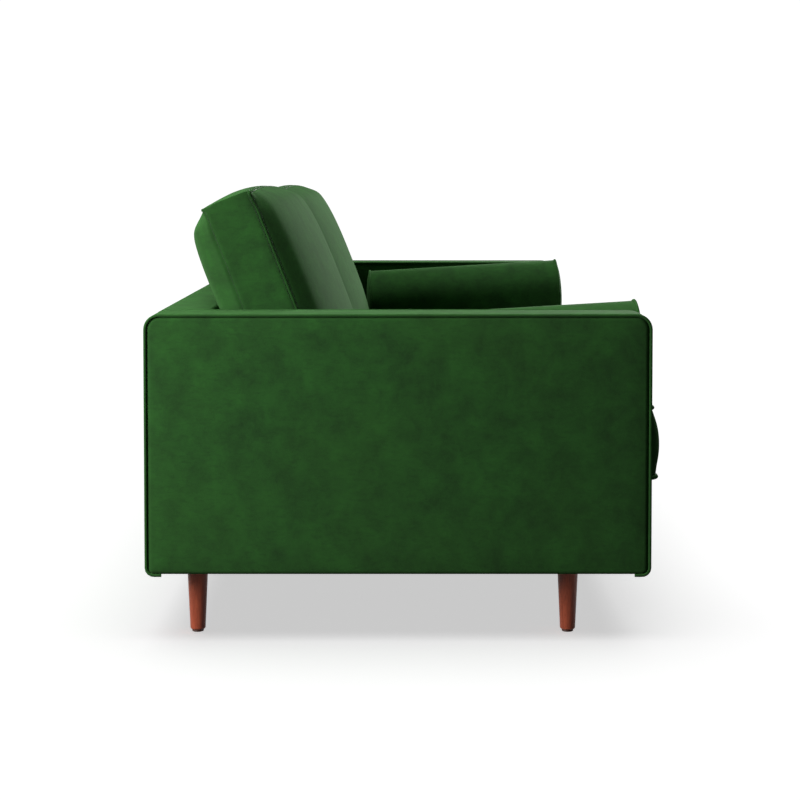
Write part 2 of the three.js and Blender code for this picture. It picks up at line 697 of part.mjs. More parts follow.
function bolsterGeometry(length) {
  const dome = (i) => {
    const angle = (i / DOME_STEPS) * (Math.PI / 2);
    return [BOLSTER_RADIUS * Math.sin(angle), BOLSTER_DOME * Math.cos(angle)];
  };
  const steps = Array.from({ length: DOME_STEPS + 1 }, (_, i) => dome(i));
  const lower = steps.map(([radius, rise]) => [radius, -rise]);
  const upper = steps.map(([radius, rise]) => [radius, length + rise]).reverse();
  return turned([...lower, ...upper], BOLSTER_SIDES).rotateX(-Math.PI / 2);
}

function makeBolster({ side, sign }) {
  const above = TOUCH + SEAT_BOXING + BOLSTER_SEAT_CLEARANCE + BOLSTER_RADIUS;
  const z = deckZ(FRONT_Y, above);
  const swollen = BACK_CUSHION_FRONT_SWELL / Math.cos(BACK_CUSHION_LEAN);
  const length = backCushionY(z) - swollen - BOLSTER_BACK_CLEARANCE - FRONT_Y;
  const x = sign * (ARM_INNER_X - BOLSTER_ARM_CLEARANCE - BOLSTER_RADIUS);
  const bolster = piece(`bolster_${side}`, bolsterGeometry(length), "velvet", [x, FRONT_Y, z]);
  bolster.rotation.x = -SEAT_SLOPE;
  return bolster;
}

// --- The sofa ---

const sofa = group(
  ...LEGS.map(makeLeg),
  ...SIDES.map(makeArm),
  makeSeatFrame(),
  makeSprings(),
  makeBack(),
  makeSeatCovers(),
  makeSeatCushion(),
  ...SIDES.map(makeBackCushion),
  ...SIDES.map(makeBolster),
);

export default sofa;
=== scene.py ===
# Upholsters a three-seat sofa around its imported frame: velvet covers, welts, stuffed cushions,
# turned legs and linings, then sets it on a pale studio floor. Metres, in the frame's own axes:
# +X along the width, -Y out of the front, +Z up.
import math

import bmesh
import bpy
from bpy.props import FloatProperty, FloatVectorProperty, IntProperty, PointerProperty
from mathutils import Matrix, Vector
from mathutils.bvhtree import BVHTree
from mathutils.kdtree import KDTree


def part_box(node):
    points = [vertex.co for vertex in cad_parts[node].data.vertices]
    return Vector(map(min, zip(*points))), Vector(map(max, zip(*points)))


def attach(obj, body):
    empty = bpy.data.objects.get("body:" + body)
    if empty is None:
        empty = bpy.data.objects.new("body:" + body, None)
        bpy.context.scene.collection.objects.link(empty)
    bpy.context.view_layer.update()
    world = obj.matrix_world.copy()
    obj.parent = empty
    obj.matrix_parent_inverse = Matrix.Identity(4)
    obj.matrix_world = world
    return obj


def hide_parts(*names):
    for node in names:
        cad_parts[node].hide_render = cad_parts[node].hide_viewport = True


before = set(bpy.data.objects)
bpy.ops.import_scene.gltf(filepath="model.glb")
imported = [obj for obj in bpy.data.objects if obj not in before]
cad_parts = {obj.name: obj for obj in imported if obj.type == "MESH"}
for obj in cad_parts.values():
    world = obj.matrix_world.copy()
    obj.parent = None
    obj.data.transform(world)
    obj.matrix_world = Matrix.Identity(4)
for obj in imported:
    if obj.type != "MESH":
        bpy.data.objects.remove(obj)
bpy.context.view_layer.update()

bl_info = {
    "name": "Velvet sofa",
    "version": (1, 0, 0),
    "blender": (4, 5, 0),
    "location": "View3D > Sidebar > Sofa",
    "description": "Covers, cushions, welts, legs and linings for a sofa frame, and a studio",
    "category": "Object",
}

MM = 0.001
GAP = 0.3 * MM  # clearance that pieces keep where they touch
SLICE = 45 * MM  # widest face on a tight cover, so that it can crown
SIDES = {"left": -1, "right": 1}
LEG_PLACES = ("front_left", "front_right", "rear_left", "rear_right", "centre")


# --- Colours and materials ---


def linear(colour):
    """An sRGB hex colour as linear red, green and blue."""
    values = [int(colour[i : i + 2], 16) / 255 for i in (1, 3, 5)]
    return [v / 12.92 if v <= 0.04045 else ((v + 0.055) / 1.055) ** 2.4 for v in values]


def wire(tree, node, links):
    """Links sockets to a node's inputs, given by name."""
    for name, socket in links.items():
        tree.links.new(socket, node.inputs[name])


def add_node(tree, kind, values=None, links=None, **attributes):
    """Adds a node with its attributes, its inputs' values and the sockets linked to its inputs."""
    node = tree.nodes.new(kind)
    for name, value in attributes.items():
        setattr(node, name, value)
    for name, value in (values or {}).items():
        node.inputs[name].default_value = value
    wire(tree, node, links or {})
    return node


def new_material(name, shader_values):
    """An empty node material with a Principled shader, and the shader's node."""
    material = bpy.data.materials.new(name)
    material.use_nodes = True
    tree = material.node_tree
    tree.nodes.clear()
    shader = add_node(tree, "ShaderNodeBsdfPrincipled", shader_values)
    links = {"Surface": shader.outputs["BSDF"]}
    add_node(tree, "ShaderNodeOutputMaterial", links=links)
    return material, tree, shader


def object_place(tree):
    """Coordinates that stay with the object, so that its pattern moves with it."""
    return add_node(tree, "ShaderNodeTexCoord").outputs["Object"]


def rgba(colour):
    return (*colour, 1.0)


def mixed(tree, factor, first, second):
    """A mix of two colours or colour sockets, as a colour socket."""
    node = add_node(tree, "ShaderNodeMix", data_type="RGBA")
    tree.links.new(factor, node.inputs["Factor"])
    for index, colour in ((6, first), (7, second)):
        if isinstance(colour, bpy.types.NodeSocket):
            tree.links.new(colour, node.inputs[index])
        else:
            node.inputs[index].default_value = rgba(colour)
    return node.outputs[2]


def noise_socket(tree, coordinates, size, detail=2.0, roughness=0.5, distortion=0.0):
    """Noise whose blotches are about `size` metres across, from 0 to 1."""
    values = {
        "Scale": 1 / size,
        "Detail": detail,
        "Roughness": roughness,
        "Distortion": distortion,
    }
    node = add_node(tree, "ShaderNodeTexNoise", values, {"Vector": coordinates})
    return node.outputs["Fac"]


def stretched(tree, coordinates, scale):
    node = add_node(tree, "ShaderNodeMapping", {"Scale": scale}, {"Vector": coordinates})
    return node.outputs["Vector"]


def ranged(tree, socket, low, high, to_low=0.0, to_high=1.0):
    """The part of a socket's values between low and high, spread over a new range."""
    values = {"From Min": low, "From Max": high, "To Min": to_low, "To Max": to_high}
    node = add_node(tree, "ShaderNodeMapRange", values, {"Value": socket})
    return node.outputs["Result"]


def bumped(tree, heights):
    """A normal socket from (height socket, distance in metres, strength) in turn."""
    normal = None
    for height, distance, strength in heights:
        links = {"Height": height}
        if normal is not None:
            links["Normal"] = normal
        values = {"Distance": distance, "Strength": strength}
        normal = add_node(tree, "ShaderNodeBump", values, links).outputs["Normal"]
    return normal


def velvet(settings, name="cotton velvet", mottle=1.0):
    """Cut-pile cotton velvet: dark where the pile faces you, pale where it is seen edge on.
    The pile lies in soft patches a few centimetres across, where it was brushed or leant on."""
    material, tree, shader = new_material(
        name,
        {
            "Roughness": settings.roughness,
            "Specular IOR Level": settings.specular,
            "Sheen Weight": settings.sheen,
            "Sheen Roughness": settings.sheen_roughness,
            "Sheen Tint": rgba(settings.sheen_colour),
        },
    )
    place = object_place(tree)
    patch = noise_socket(tree, place, settings.patch_size, 8.0, 0.66, 0.25)
    drift = noise_socket(tree, place, settings.drift_size, 2.0, 0.5)
    streak_place = stretched(tree, place, (1.0, 1.0, 3.2))
    streak = noise_socket(tree, streak_place, settings.patch_size * 0.4, 6.0, 0.68, 0.2)
    # The real pile is finer than a millimetre, so it is drawn three times as coarse to show.
    pile = noise_socket(tree, place, settings.pile_size, 2.0, 0.6)
    base = mixed(
        tree,
        ranged(tree, patch, 0.5 - 0.18 / mottle, 0.5 + 0.18 / mottle),
        settings.deep_colour,
        settings.colour,
    )
    tinted = mixed(tree, ranged(tree, drift, 0.4, 0.75, 0.0, 0.35), base, settings.warm_colour)
    brushed = mixed(
        tree, ranged(tree, streak, 0.5, 0.68, 0.0, 0.5), tinted, settings.deep_colour
    )
    furred = mixed(tree, ranged(tree, pile, 0.35, 0.75, 0.0, 0.18), brushed, settings.tip_colour)
    normal = bumped(tree, [(patch, 2.2 * MM, 0.25), (pile, 0.35 * MM, 0.35)])
    wire(tree, shader, {"Base Color": furred, "Normal": normal})
    return material


def stained_wood(settings):
    """Stained rubberwood under satin lacquer: straight grain up the leg and fine dark pores."""
    material, tree, shader = new_material(
        "stained rubberwood",
        {"Roughness": 0.45, "Specular IOR Level": 0.25, "IOR": 1.5},
    )
    place = object_place(tree)
    grain_place = stretched(tree, place, (1.0, 1.0, 0.07))
    grain = noise_socket(tree, grain_place, settings.grain_width, 4.0, 0.6, 0.8)
    pores = noise_socket(tree, stretched(tree, place, (1.0, 1.0, 0.05)), 0.9 * MM, 2.0, 0.5)
    body = mixed(tree, ranged(tree, grain, 0.3, 0.7), settings.dark_colour, settings.colour)
    pored = mixed(tree, ranged(tree, pores, 0.58, 0.72, 0.0, 0.5), body, settings.pore_colour)
    gloss = ranged(tree, grain, 0.2, 0.8, 0.32, 0.46)
    normal = bumped(tree, [(grain, 0.3 * MM, 0.25), (pores, 0.15 * MM, 0.4)])
    wire(tree, shader, {"Base Color": pored, "Roughness": gloss, "Normal": normal})
    return material


def raw_wood():
    """Kiln-dried poplar rails, sawn and left bare: pale, with long soft grain."""
    material, tree, shader = new_material("bare poplar", {"Roughness": 0.72})
    place = object_place(tree)
    grain = noise_socket(tree, stretched(tree, place, (0.2, 1.0, 1.0)), 12 * MM, 4.0, 0.6, 1.0)
    saw = noise_socket(tree, stretched(tree, place, (4.0, 1.0, 1.0)), 3 * MM, 1.0, 0.5)
    body = mixed(tree, ranged(tree, grain, 0.3, 0.7), linear("#b48d5c"), linear("#d3b482"))
    wire(tree, shader, {"Base Color": body, "Normal": bumped(tree, [(saw, 0.3 * MM, 0.3)])})
    return material


def drawn_steel(name, colour, roughness):
    """Zinc-plated or oiled steel: grey metal with a faint unevenness from handling."""
    values = {"Base Color": rgba(colour), "Metallic": 1.0, "Roughness": roughness}
    material, tree, shader = new_material(name, values)
    place = object_place(tree)
    smear = noise_socket(tree, place, 6 * MM, 3.0, 0.6)
    soft = ranged(tree, smear, 0.3, 0.7, roughness - 0.08, roughness + 0.1)
    wire(tree, shader, {"Roughness": soft})
    return material


def moulded_nylon():
    """Injection-moulded brown nylon, with a fine spark-eroded texture."""
    values = {"Base Color": rgba(linear("#4a2a1e")), "Roughness": 0.5}
    material, tree, shader = new_material("moulded nylon", values)
    place = object_place(tree)
    grit = noise_socket(tree, place, 0.8 * MM, 2.0, 0.5)
    wire(tree, shader, {"Normal": bumped(tree, [(grit, 0.08 * MM, 0.5)])})
    return material


def spunbond_lining(name, colour, lighter, thread):
    """Woven or spunbond polypropylene lining: matt, with its threads crossing square."""
    material, tree, shader = new_material(name, {"Roughness": 0.9, "Sheen Weight": 0.05})
    place = object_place(tree)
    lengthwise = noise_socket(tree, stretched(tree, place, (0.08, 1.0, 1.0)), thread, 1.0)
    crosswise = noise_socket(tree, stretched(tree, place, (1.0, 0.08, 1.0)), thread, 1.0)
    threads = {0: lengthwise, 1: crosswise}
    crossing = add_node(tree, "ShaderNodeMath", links=threads, operation="MULTIPLY")
    weave = crossing.outputs[0]
    body = mixed(tree, ranged(tree, weave, 0.15, 0.35), colour, lighter)
    normal = bumped(tree, [(weave, 0.3 * MM, 0.4)])
    wire(tree, shader, {"Base Color": body, "Normal": normal})
    return material


def sewing_thread(settings):
    """Bonded polyester thread: a little glossier and lighter than the velvet it sews."""
    values = {"Base Color": rgba(settings.thread_colour), "Roughness": 0.5}
    material, tree, shader = new_material("bonded polyester thread", values)
    place = object_place(tree)
    twist = noise_socket(tree, stretched(tree, place, (1.0, 3.0, 3.0)), 0.9 * MM, 1.0)
    wire(tree, shader, {"Normal": bumped(tree, [(twist, 0.1 * MM, 0.4)])})
    return material


def finish(name):
    """The material of that name, made on first use."""
    scene = bpy.context.scene
    makers = {
        "velvet": lambda: velvet(scene.sofa_velvet),
        "welt velvet": lambda: velvet(scene.sofa_velvet, "cotton velvet on the bias", 0.6),
        "thread": lambda: sewing_thread(scene.sofa_velvet),
        "leg wood": lambda: stained_wood(scene.sofa_wood),
        "frame wood": raw_wood,
        "spring steel": lambda: drawn_steel("oiled spring steel", linear("#5b5a57"), 0.42),
        "bolt steel": lambda: drawn_steel("zinc-plated steel", linear("#a4a39e"), 0.35),
        "nylon": moulded_nylon,
        "lining": lambda: spunbond_lining(
            "spunbond polypropylene", linear("#141415"), linear("#262627"), 2.0 * MM
        ),
        "deck lining": lambda: spunbond_lining(
            "woven polypropylene", linear("#1c2b1c"), linear("#2c3f2a"), 3.0 * MM
        ),
    }
    if name not in MADE:
        MADE[name] = makers[name]()
    return MADE[name]


MADE = {}


# --- Mesh helpers ---


def block(low, high):
    """A bmesh box between two corners."""
    low, high = Vector(low), Vector(high)
    place = Matrix.Translation((low + high) / 2) @ Matrix.Diagonal((*(high - low), 1.0))
    bm = bmesh.new()
    bmesh.ops.create_cube(bm, size=1.0, matrix=place)
    return bm


def edges_along(bm, axis):
    """The edges that run along an axis, by number."""
    found = []
    for edge in bm.edges:
        run = edge.verts[1].co - edge.verts[0].co
        if abs(run[axis]) > 0.999 * run.length:
            found.append(edge)
    return found


def near(value, target, slack=0.05 * MM):
    return abs(value - target) < slack


def rounded(bm, edges, radius, segments):
    bmesh.ops.bevel(
        bm,
        geom=edges,
        offset=radius,
        offset_type="OFFSET",
        affect="EDGES",
        segments=segments,
        profile=0.5,
        material=-1,
        clamp_overlap=True,
    )


def edges_at(bm, axis, level):
    """The edges along X that lie at one level of another axis."""
    return [e for e in edges_along(bm, 0) if near(e.verts[0].co[axis], level)]


def mesh_from(bm, name):
    """The bmesh as a mesh; the bmesh is spent."""
    mesh = bpy.data.meshes.new(name)
    bm.to_mesh(mesh)
    bm.free()
    return mesh


def piece_from(bm, name, material, body, nodes=()):
    """Makes the finished object from a bmesh, riding on its body."""
    return dress(mesh_from(bm, name), name, material, body, nodes)


def linked(name, data):
    """A new object in the scene."""
    made = bpy.data.objects.new(name, data)
    bpy.context.scene.collection.objects.link(made)
    return made


def baked(holder):
    """An object's mesh with its modifiers or its curve's bevel applied."""
    graph = bpy.context.evaluated_depsgraph_get()
    return bpy.data.meshes.new_from_object(holder.evaluated_get(graph))


def dress(mesh, name, material, body, nodes=()):
    """Makes a mesh a smooth-shaded piece of one material that rides on its body."""
    mesh.materials.clear()
    mesh.materials.append(finish(material))
    mesh.polygons.foreach_set("use_smooth", [True] * len(mesh.polygons))
    piece = linked(name, mesh)
    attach(piece, body)
    if nodes:
        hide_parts(*nodes)
    return piece


def add_modifier(piece, kind, **settings):
    modifier = piece.modifiers.new(kind.title(), kind)
    for name, value in settings.items():
        setattr(modifier, name, value)
    return modifier


def cloth_wall(piece, thickness, edge):
    """Gives a sheet of cover its thickness inwards, and soft edges."""
    add_modifier(piece, "SOLIDIFY", thickness=thickness, offset=-1.0, use_even_offset=True)
    add_modifier(
        piece,
        "BEVEL",
        width=edge,
        segments=3,
        limit_method="ANGLE",
        angle_limit=math.radians(50),
    )


def tube(name, points, radius, body, closed=False):
    """A welt: a round cord covered in velvet, along a line of points."""
    curve = bpy.data.curves.new(name, "CURVE")
    curve.dimensions = "3D"
    curve.bevel_depth = radius
    curve.bevel_resolution = 3
    curve.use_fill_caps = not closed
    curve.twist_mode = "MINIMUM"
    spline = curve.splines.new("POLY")
    spline.points.add(len(points) - 1)
    for point, place in zip(spline.points, points):
        point.co = (*place, 1.0)
    spline.use_cyclic_u = closed
    holder = linked(name + "_line", curve)
    mesh = baked(holder)
    bpy.data.objects.remove(holder)
    return dress(mesh, name, "welt velvet", body)


def rounded_line(corners, radii, steps=10, closed=False):
    """Points along straight runs between corners, each corner turned on an arc of its radius."""
    count = len(corners)
    line = []
    for i, (corner, radius) in enumerate(zip(corners, radii)):
        if radius == 0 or (not closed and i in (0, count - 1)):
            line.append(corner)
            continue
        before = (corners[i - 1] - corner).normalized()
        after = (corners[(i + 1) % count] - corner).normalized()
        half = before.angle(after) / 2
        reach = radius / math.tan(half)
        centre = corner + (before + after).normalized() * radius / math.sin(half)
        start = (corner + before * reach - centre).normalized()
        end = (corner + after * reach - centre).normalized()
        line += [centre + start.slerp(end, k / steps) * radius for k in range(steps + 1)]
    return line


def even_line(line, spacing, closed=False):
    """The same line with points evenly spaced along it."""
    points = line + [line[0]] if closed else line
    lengths = [(b - a).length for a, b in zip(points, points[1:])]
    total = sum(lengths)
    count = max(2, round(total / spacing))
    found, run, segment = [], 0.0, 0
    for i in range(count + (0 if closed else 1)):
        target = total * i / count
        while segment < len(lengths) - 1 and run + lengths[segment] < target:
            run += lengths[segment]
            segment += 1
        share = (target - run) / lengths[segment] if lengths[segment] else 0.0
        found.append(points[segment].lerp(points[segment + 1], min(1.0, share)))
    return found


# --- What a user may change ---


def length_property(name, description, millimetres):
    return FloatProperty(
        name=name, description=description, default=millimetres * MM, unit="LENGTH", min=0.0
    )


def colour_property(name, description, colour):
    return FloatVectorProperty(
        name=name,
        description=description,
        default=linear(colour),
        subtype="COLOR",
        size=3,
        min=0.0,
        max=1.0,
    )


def share_property(name, description, value):
    return FloatProperty(
        name=name, description=description, default=value, subtype="FACTOR", min=0.0, max=1.0
    )


def angle_property(name, description, degrees):
    return FloatProperty(
        name=name, description=description, default=math.radians(degrees), subtype="ANGLE"
    )


class SofaVelvet(bpy.types.PropertyGroup):
    """Colours and pile of the velvet, and of its thread."""

    colour: colour_property("Colour", "Velvet where the pile stands up", "#1d4c18")
    deep_colour: colour_property("Deep colour", "Velvet where the pile lies down", "#0a260a")
    warm_colour: colour_property("Warm colour", "Velvet where light has yellowed it", "#214815")
    tip_colour: colour_property("Tip colour", "Ends of the pile", "#2b5027")
    sheen_colour: colour_property("Sheen colour", "Light caught edge on", "#a0e894")
    thread_colour: colour_property("Thread colour", "Sewing thread", "#0b260c")
    sheen: share_property("Sheen", "How strongly the pile shines edge on", 0.18)
    sheen_roughness: share_property("Sheen spread", "How widely the pile shines", 0.85)
    roughness: share_property("Roughness", "Roughness of the cloth", 0.85)
    specular: share_property("Specular", "Mirror-like part of the shine", 0.02)
    patch_size: length_property("Patches", "Width of a brushed patch of pile", 50)
    drift_size: length_property("Drift", "Width of a slow change of colour", 320)
    pile_size: length_property("Pile", "Width of a tuft as drawn", 2.2)


class SofaWood(bpy.types.PropertyGroup):
    """Colours and grain of the legs."""

    colour: colour_property("Colour", "Stained wood between the grain lines", "#b4583b")
    dark_colour: colour_property("Dark colour", "Stained wood along the grain lines", "#96452d")
    pore_colour: colour_property("Pore colour", "Pores filled with stain", "#2e140d")
    grain_width: length_property("Grain", "Distance between grain lines", 5)


class SofaCovers(bpy.types.PropertyGroup):
    """Sizes of the tight covers and their welts."""

    corner_radius: length_property("Arm corners", "Radius of the arms' upper corners", 28)
    foot_radius: length_property("Arm feet", "Radius of the arms' lower corners", 16)
    back_radius: length_property("Back edge", "Radius of the back's upper rear edge", 25)
    panel_rim: length_property("Panel rim", "Radius of a padded panel's rim", 9)
    panel_crown: length_property("Panel crown", "How far a padded panel stands out", 2)
    cloth: length_property("Cover", "Thickness of velvet and wadding", 4)
    welt_radius: length_property("Welt", "Radius of the welts on the arms", 2.9)
    welt_tuck: length_property("Welt tuck", "How far a welt runs in under the arm", 28)


class SofaCushions(bpy.types.PropertyGroup):
    """Sizes of the loose cushions."""

    seat_slope: angle_property("Seat slope", "How much the seat falls to the rear", 3.4)
    seat_boxing: length_property("Seat boxing", "Height of the seat cushion's sides", 134)
    seat_front: length_property("Seat front", "How far its front swells", 8.5)
    seat_crown: length_property("Seat crown", "How far its top swells", 24)
    seat_corner: length_property("Seat corners", "Radius of its corners seen from above", 18)
    back_lean: angle_property("Back lean", "How much the back cushions lean", 21.4)
    back_height: length_property("Back height", "Height along the front seam", 463)
    back_boxing: length_property("Back boxing", "Depth of the back cushions' sides", 99)
    back_front: length_property("Back front", "How far the front swells", 85)
    back_rear: length_property("Back rear", "How far the rear swells above the back", 79)
    back_slump: share_property("Rear slump", "How much less the rear swells lower down", 0.1)
    back_top: length_property("Back top", "How far the top swells between its seams", 15)
    back_arch: length_property("Back arch", "How far the front seam's top is arched", 8)
    back_rear_arch: length_property("Rear arch", "How far the rear seam's top is arched", 3)
    back_rear_room: length_property("Rear room", "From the rear seam to the back's edge", 52)
    back_corner: length_property("Back corners", "Radius of the corners", 5)
    left_settle: length_property("Left settled", "How far the left cushion has settled", 0)
    right_settle: length_property("Right settled", "How far the right cushion has settled", 1)
    bolster_radius: length_property("Bolster radius", "Radius of the bolsters", 92)
    bolster_dome: length_property("Bolster ends", "How far the bolsters' ends swell", 16)
    bolster_reach: length_property("Bolster reach", "How far back the rear rim lies", 96)
    bolster_rise: length_property("Bolster rise", "Underside above the seat's seams", 21)
    welt_radius: length_property("Welt", "Radius of the seat cushion's welts", 4)
    rib_radius: length_property("Seam rib", "Radius of the rib between two stitch rows", 4.2)
    stitch_pitch: length_property("Stitch pitch", "From one stitch to the next", 3.8)
    stitch_length: length_property("Stitch", "Length of a stitch", 3.2)
    stitch_radius: length_property("Thread", "Radius of the thread", 0.45)


class SofaStuffing(bpy.types.PropertyGroup):
    """How the cushions' covers are swollen from within."""

    pressure: FloatProperty(name="Pressure", description="Push from within", default=4.0)
    steps: IntProperty(name="Steps", description="Steps of swelling", default=20, min=2)
    ease: share_property("Ease", "Spare cloth in the covers, which puckers it", 0.0)
    growth: length_property("Growth", "Most that a cushion swells", 14)
    bolster_growth: length_property("Bolster growth", "Most that a bolster swells", 3)
    seat_grain: length_property("Seat grain", "Size of the seat cushion's faces", 9)
    back_grain: length_property("Back grain", "Size of the back cushions' faces", 6)
    bolster_grain: length_property("Bolster grain", "Size of the bolsters' faces", 5)


class SofaStudio(bpy.types.PropertyGroup):
    """Floor, lights and camera."""

    lens: FloatProperty(name="Lens", description="Focal length", default=80.86, unit="CAMERA")
    pitch: angle_property("Pitch", "How far the camera looks down", 2.5)
    rise: FloatProperty(name="Rise", description="Camera shift upwards", default=-0.1768)
    aside: FloatProperty(name="Aside", description="Camera shift sideways", default=0.0022)
    place: FloatVectorProperty(
        name="Camera", description="Where the camera stands", default=(-4.4262, 0.0165, 0.8579)
    )
    sky: FloatProperty(name="Sky", description="Brightness of the surroundings", default=0.04)
    sun: FloatProperty(name="Overhead", description="Strength of the soft overhead", default=2.3)
    floor_sun: FloatProperty(
        name="Floor overhead", description="Strength of the overhead on the floor", default=1.7
    )
    key: FloatProperty(name="Key", description="Power of the key softbox", default=62.0)
    fill: FloatProperty(name="Fill", description="Power of the far softbox", default=125.0)
    floor_glow: share_property("Floor glow", "How much the floor lights its own shadows", 0.57)


# --- Tight covers ---

BAND_INSET = 3.4 * MM  # panels' faces to the boxing's edges, which the welts cover
BAND_SLICE = 12 * MM  # widest face across the boxing
BAND_SINK = 0.6 * MM  # how far the boxing lies in at its edges
BAND_EDGE, BACK_EDGE = 1.6 * MM, 1.5 * MM  # rounding of the cut edges
WELT_SET_IN, WELT_INSET, WELT_BELOW = 1.9 * MM, 2.0 * MM, 1.2 * MM  # axis to the arm's faces
WELT_STEP = 6 * MM
BACK_FRONT_RADIUS = 9 * MM  # the back cover's upper front edge
BACK_LIP = 24 * MM  # how far the back cover runs down behind the cushions
PAD_LEAN = math.radians(13)
PAD_THICKNESS, PAD_RADIUS, PAD_CROWN = 30 * MM, 8 * MM, 3 * MM
BORDER_RADIUS = 3 * MM
LINING_SLICE = 60 * MM
DUST_THICKNESS, DUST_SAG = 1.4 * MM, 2.0 * MM
DECK_THICKNESS = 2.8 * MM


def crowned(bm, axis, level, low, high, swell):
    """Moves the face at one level of an axis along that axis, the most in its middle."""
    across = [i for i in range(3) if i != axis]
    for vert in bm.verts:
        if not near(vert.co[axis], level):
            continue
        share = swell
        for i in across:
            u = 2 * (vert.co[i] - low[i]) / (high[i] - low[i]) - 1
            share *= max(0.0, 1 - u**4)
        vert.co[axis] += share


def cut_up(bm, axis, low, high, spacing):
    """Slices the mesh across an axis in even steps, none longer than the spacing."""
    count = math.ceil((high - low) / spacing)
    across = Vector((axis == 0, axis == 1, axis == 2))
    for i in range(1, count):
        bmesh.ops.bisect_plane(
            bm,
            geom=bm.verts[:] + bm.edges[:] + bm.faces[:],
            plane_co=across * (low + (high - low) * i / count),
            plane_no=across,
        )


def sliced(bm, low, high, spacing, axes=(0, 1, 2)):
    for axis in axes:
        cut_up(bm, axis, low[axis], high[axis], spacing)


def slab_rounded(bm, low, high, covers, inset=0.0):
    """Rounds the upper corners and the feet of an arm's slab."""
    top, feet = edges_at(bm, 2, high.z), edges_at(bm, 2, low.z)
    rounded(bm, top, covers.corner_radius - inset, 10)
    rounded(bm, feet, covers.foot_radius - inset, 8)


def padded_cover(bm, name, node, thickness=0.0, edge=0.0):
    """A tight velvet cover and its wadding in place of a frame's node. One made as a bare sheet
    is given its thickness here."""
    piece = piece_from(bm, name, "velvet", "frame", [node])
    if thickness:
        cloth_wall(piece, thickness, edge)


def make_arm_panel(side, which, covers):
    """One padded side of an arm: a board with foam, rounded off all round where it is sewn."""
    name = f"arm_{side}_{which}_panel"
    low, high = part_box(name)
    outward = SIDES[side] if which == "outer" else -SIDES[side]
    inset = covers.cloth + GAP
    low = low + Vector((0, inset, 0))
    high = high - Vector((0, inset, inset))
    bm = block(low, high)
    slab_rounded(bm, low, high, covers, inset)
    face_x = high.x if outward > 0 else low.x
    rim = [e for e in bm.edges if all(near(v.co.x, face_x) for v in e.verts)]
    rounded(bm, rim, covers.panel_rim, 4)
    sliced(bm, low, high, SLICE, (1, 2))
    crowned(bm, 0, face_x, low, high, outward * covers.panel_crown)
    padded_cover(bm, name + "_pad", name)


def band_strip(low, high, covers):
    """The front, top and rear of a slab as one strip, turned round its upper corners and in
    under its feet."""
    bm = block(low, high)
    slab_rounded(bm, low, high, covers)
    bm.normal_update()
    ends = [f for f in bm.faces if abs(f.normal.x) > 0.9 or f.normal.z < -0.999]
    bmesh.ops.delete(bm, geom=ends, context="FACES")
    return bm


def make_arm_band(side, covers):
    """The boxing that runs up an arm's front, along its top and down its rear."""
    outer_low, outer_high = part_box(f"arm_{side}_outer_panel")
    inner_low, inner_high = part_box(f"arm_{side}_inner_panel")
    low = Vector((min(outer_low.x, inner_low.x) + BAND_INSET, outer_low.y, outer_low.z))
    high = Vector((max(outer_high.x, inner_high.x) - BAND_INSET, outer_high.y, outer_high.z))
    bm = band_strip(low, high, covers)
    cut_up(bm, 0, low.x, high.x, BAND_SLICE)
    sliced(bm, low, high, SLICE, (1, 2))
    bm.normal_update()
    for vert in bm.verts:
        u = 2 * (vert.co.x - low.x) / (high.x - low.x) - 1
        vert.co += vert.normal * (covers.panel_crown * 0.6 * (1 - u**4) - BAND_SINK)
    name = f"arm_{side}_band"
    padded_cover(bm, name + "_cover", name, covers.cloth, BAND_EDGE)


def arm_welt_line(side, which, covers):
    """An arm's welt: in under its foot, up the front, over the top, down and in again."""
    low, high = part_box(f"arm_{side}_{which}_panel")
    outward = SIDES[side] if which == "outer" else -SIDES[side]
    x = (high.x if outward > 0 else low.x) - outward * WELT_SET_IN
    foot = low.z - WELT_BELOW
    front, rear, top = low.y + WELT_INSET, high.y - WELT_INSET, high.z - WELT_INSET
    corners = [
        Vector((x, front + covers.welt_tuck, foot)),
        Vector((x, front, foot)),
        Vector((x, front, top)),
        Vector((x, rear, top)),
        Vector((x, rear, foot)),
        Vector((x, rear - covers.welt_tuck, foot)),
    ]
    turn, foot_turn = covers.corner_radius - WELT_INSET, covers.foot_radius - WELT_INSET
    return rounded_line(corners, [0, foot_turn, turn, turn, foot_turn, 0])


def make_arm_welts(side, covers):
    for which in ("outer", "inner"):
        line = even_line(arm_welt_line(side, which, covers), WELT_STEP)
        name = f"arm_{side}_{which}_welt"
        tube(name, line, covers.welt_radius, "frame")


def make_back_cover(covers):
    """The velvet over the back's rear and top, pulled over its front edge."""
    low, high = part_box("back_outer_cover")
    bm = block(low, high)
    for y, radius, segments in (
        (high.y, covers.back_radius, 8),
        (low.y, BACK_FRONT_RADIUS, 5),
    ):
        ridge = [e for e in edges_at(bm, 2, high.z) if near(e.verts[0].co.y, y)]
        rounded(bm, ridge, radius, segments)
    sliced(bm, low, high, SLICE)
    bm.normal_update()
    lip = high.z - BACK_LIP
    hidden = [
        f
        for f in bm.faces
        if abs(f.normal.x) > 0.9
        or f.normal.z < -0.9
        or (f.normal.y < -0.9 and f.calc_center_median().z < lip)
    ]
    bmesh.ops.delete(bm, geom=hidden, context="FACES")
    crowned(bm, 1, high.y, low, high, covers.panel_crown)
    crowned(bm, 2, high.z, low, high, covers.panel_crown * 0.4)
    padded_cover(bm, "back_cover", "back_outer_cover", covers.cloth, BACK_EDGE)


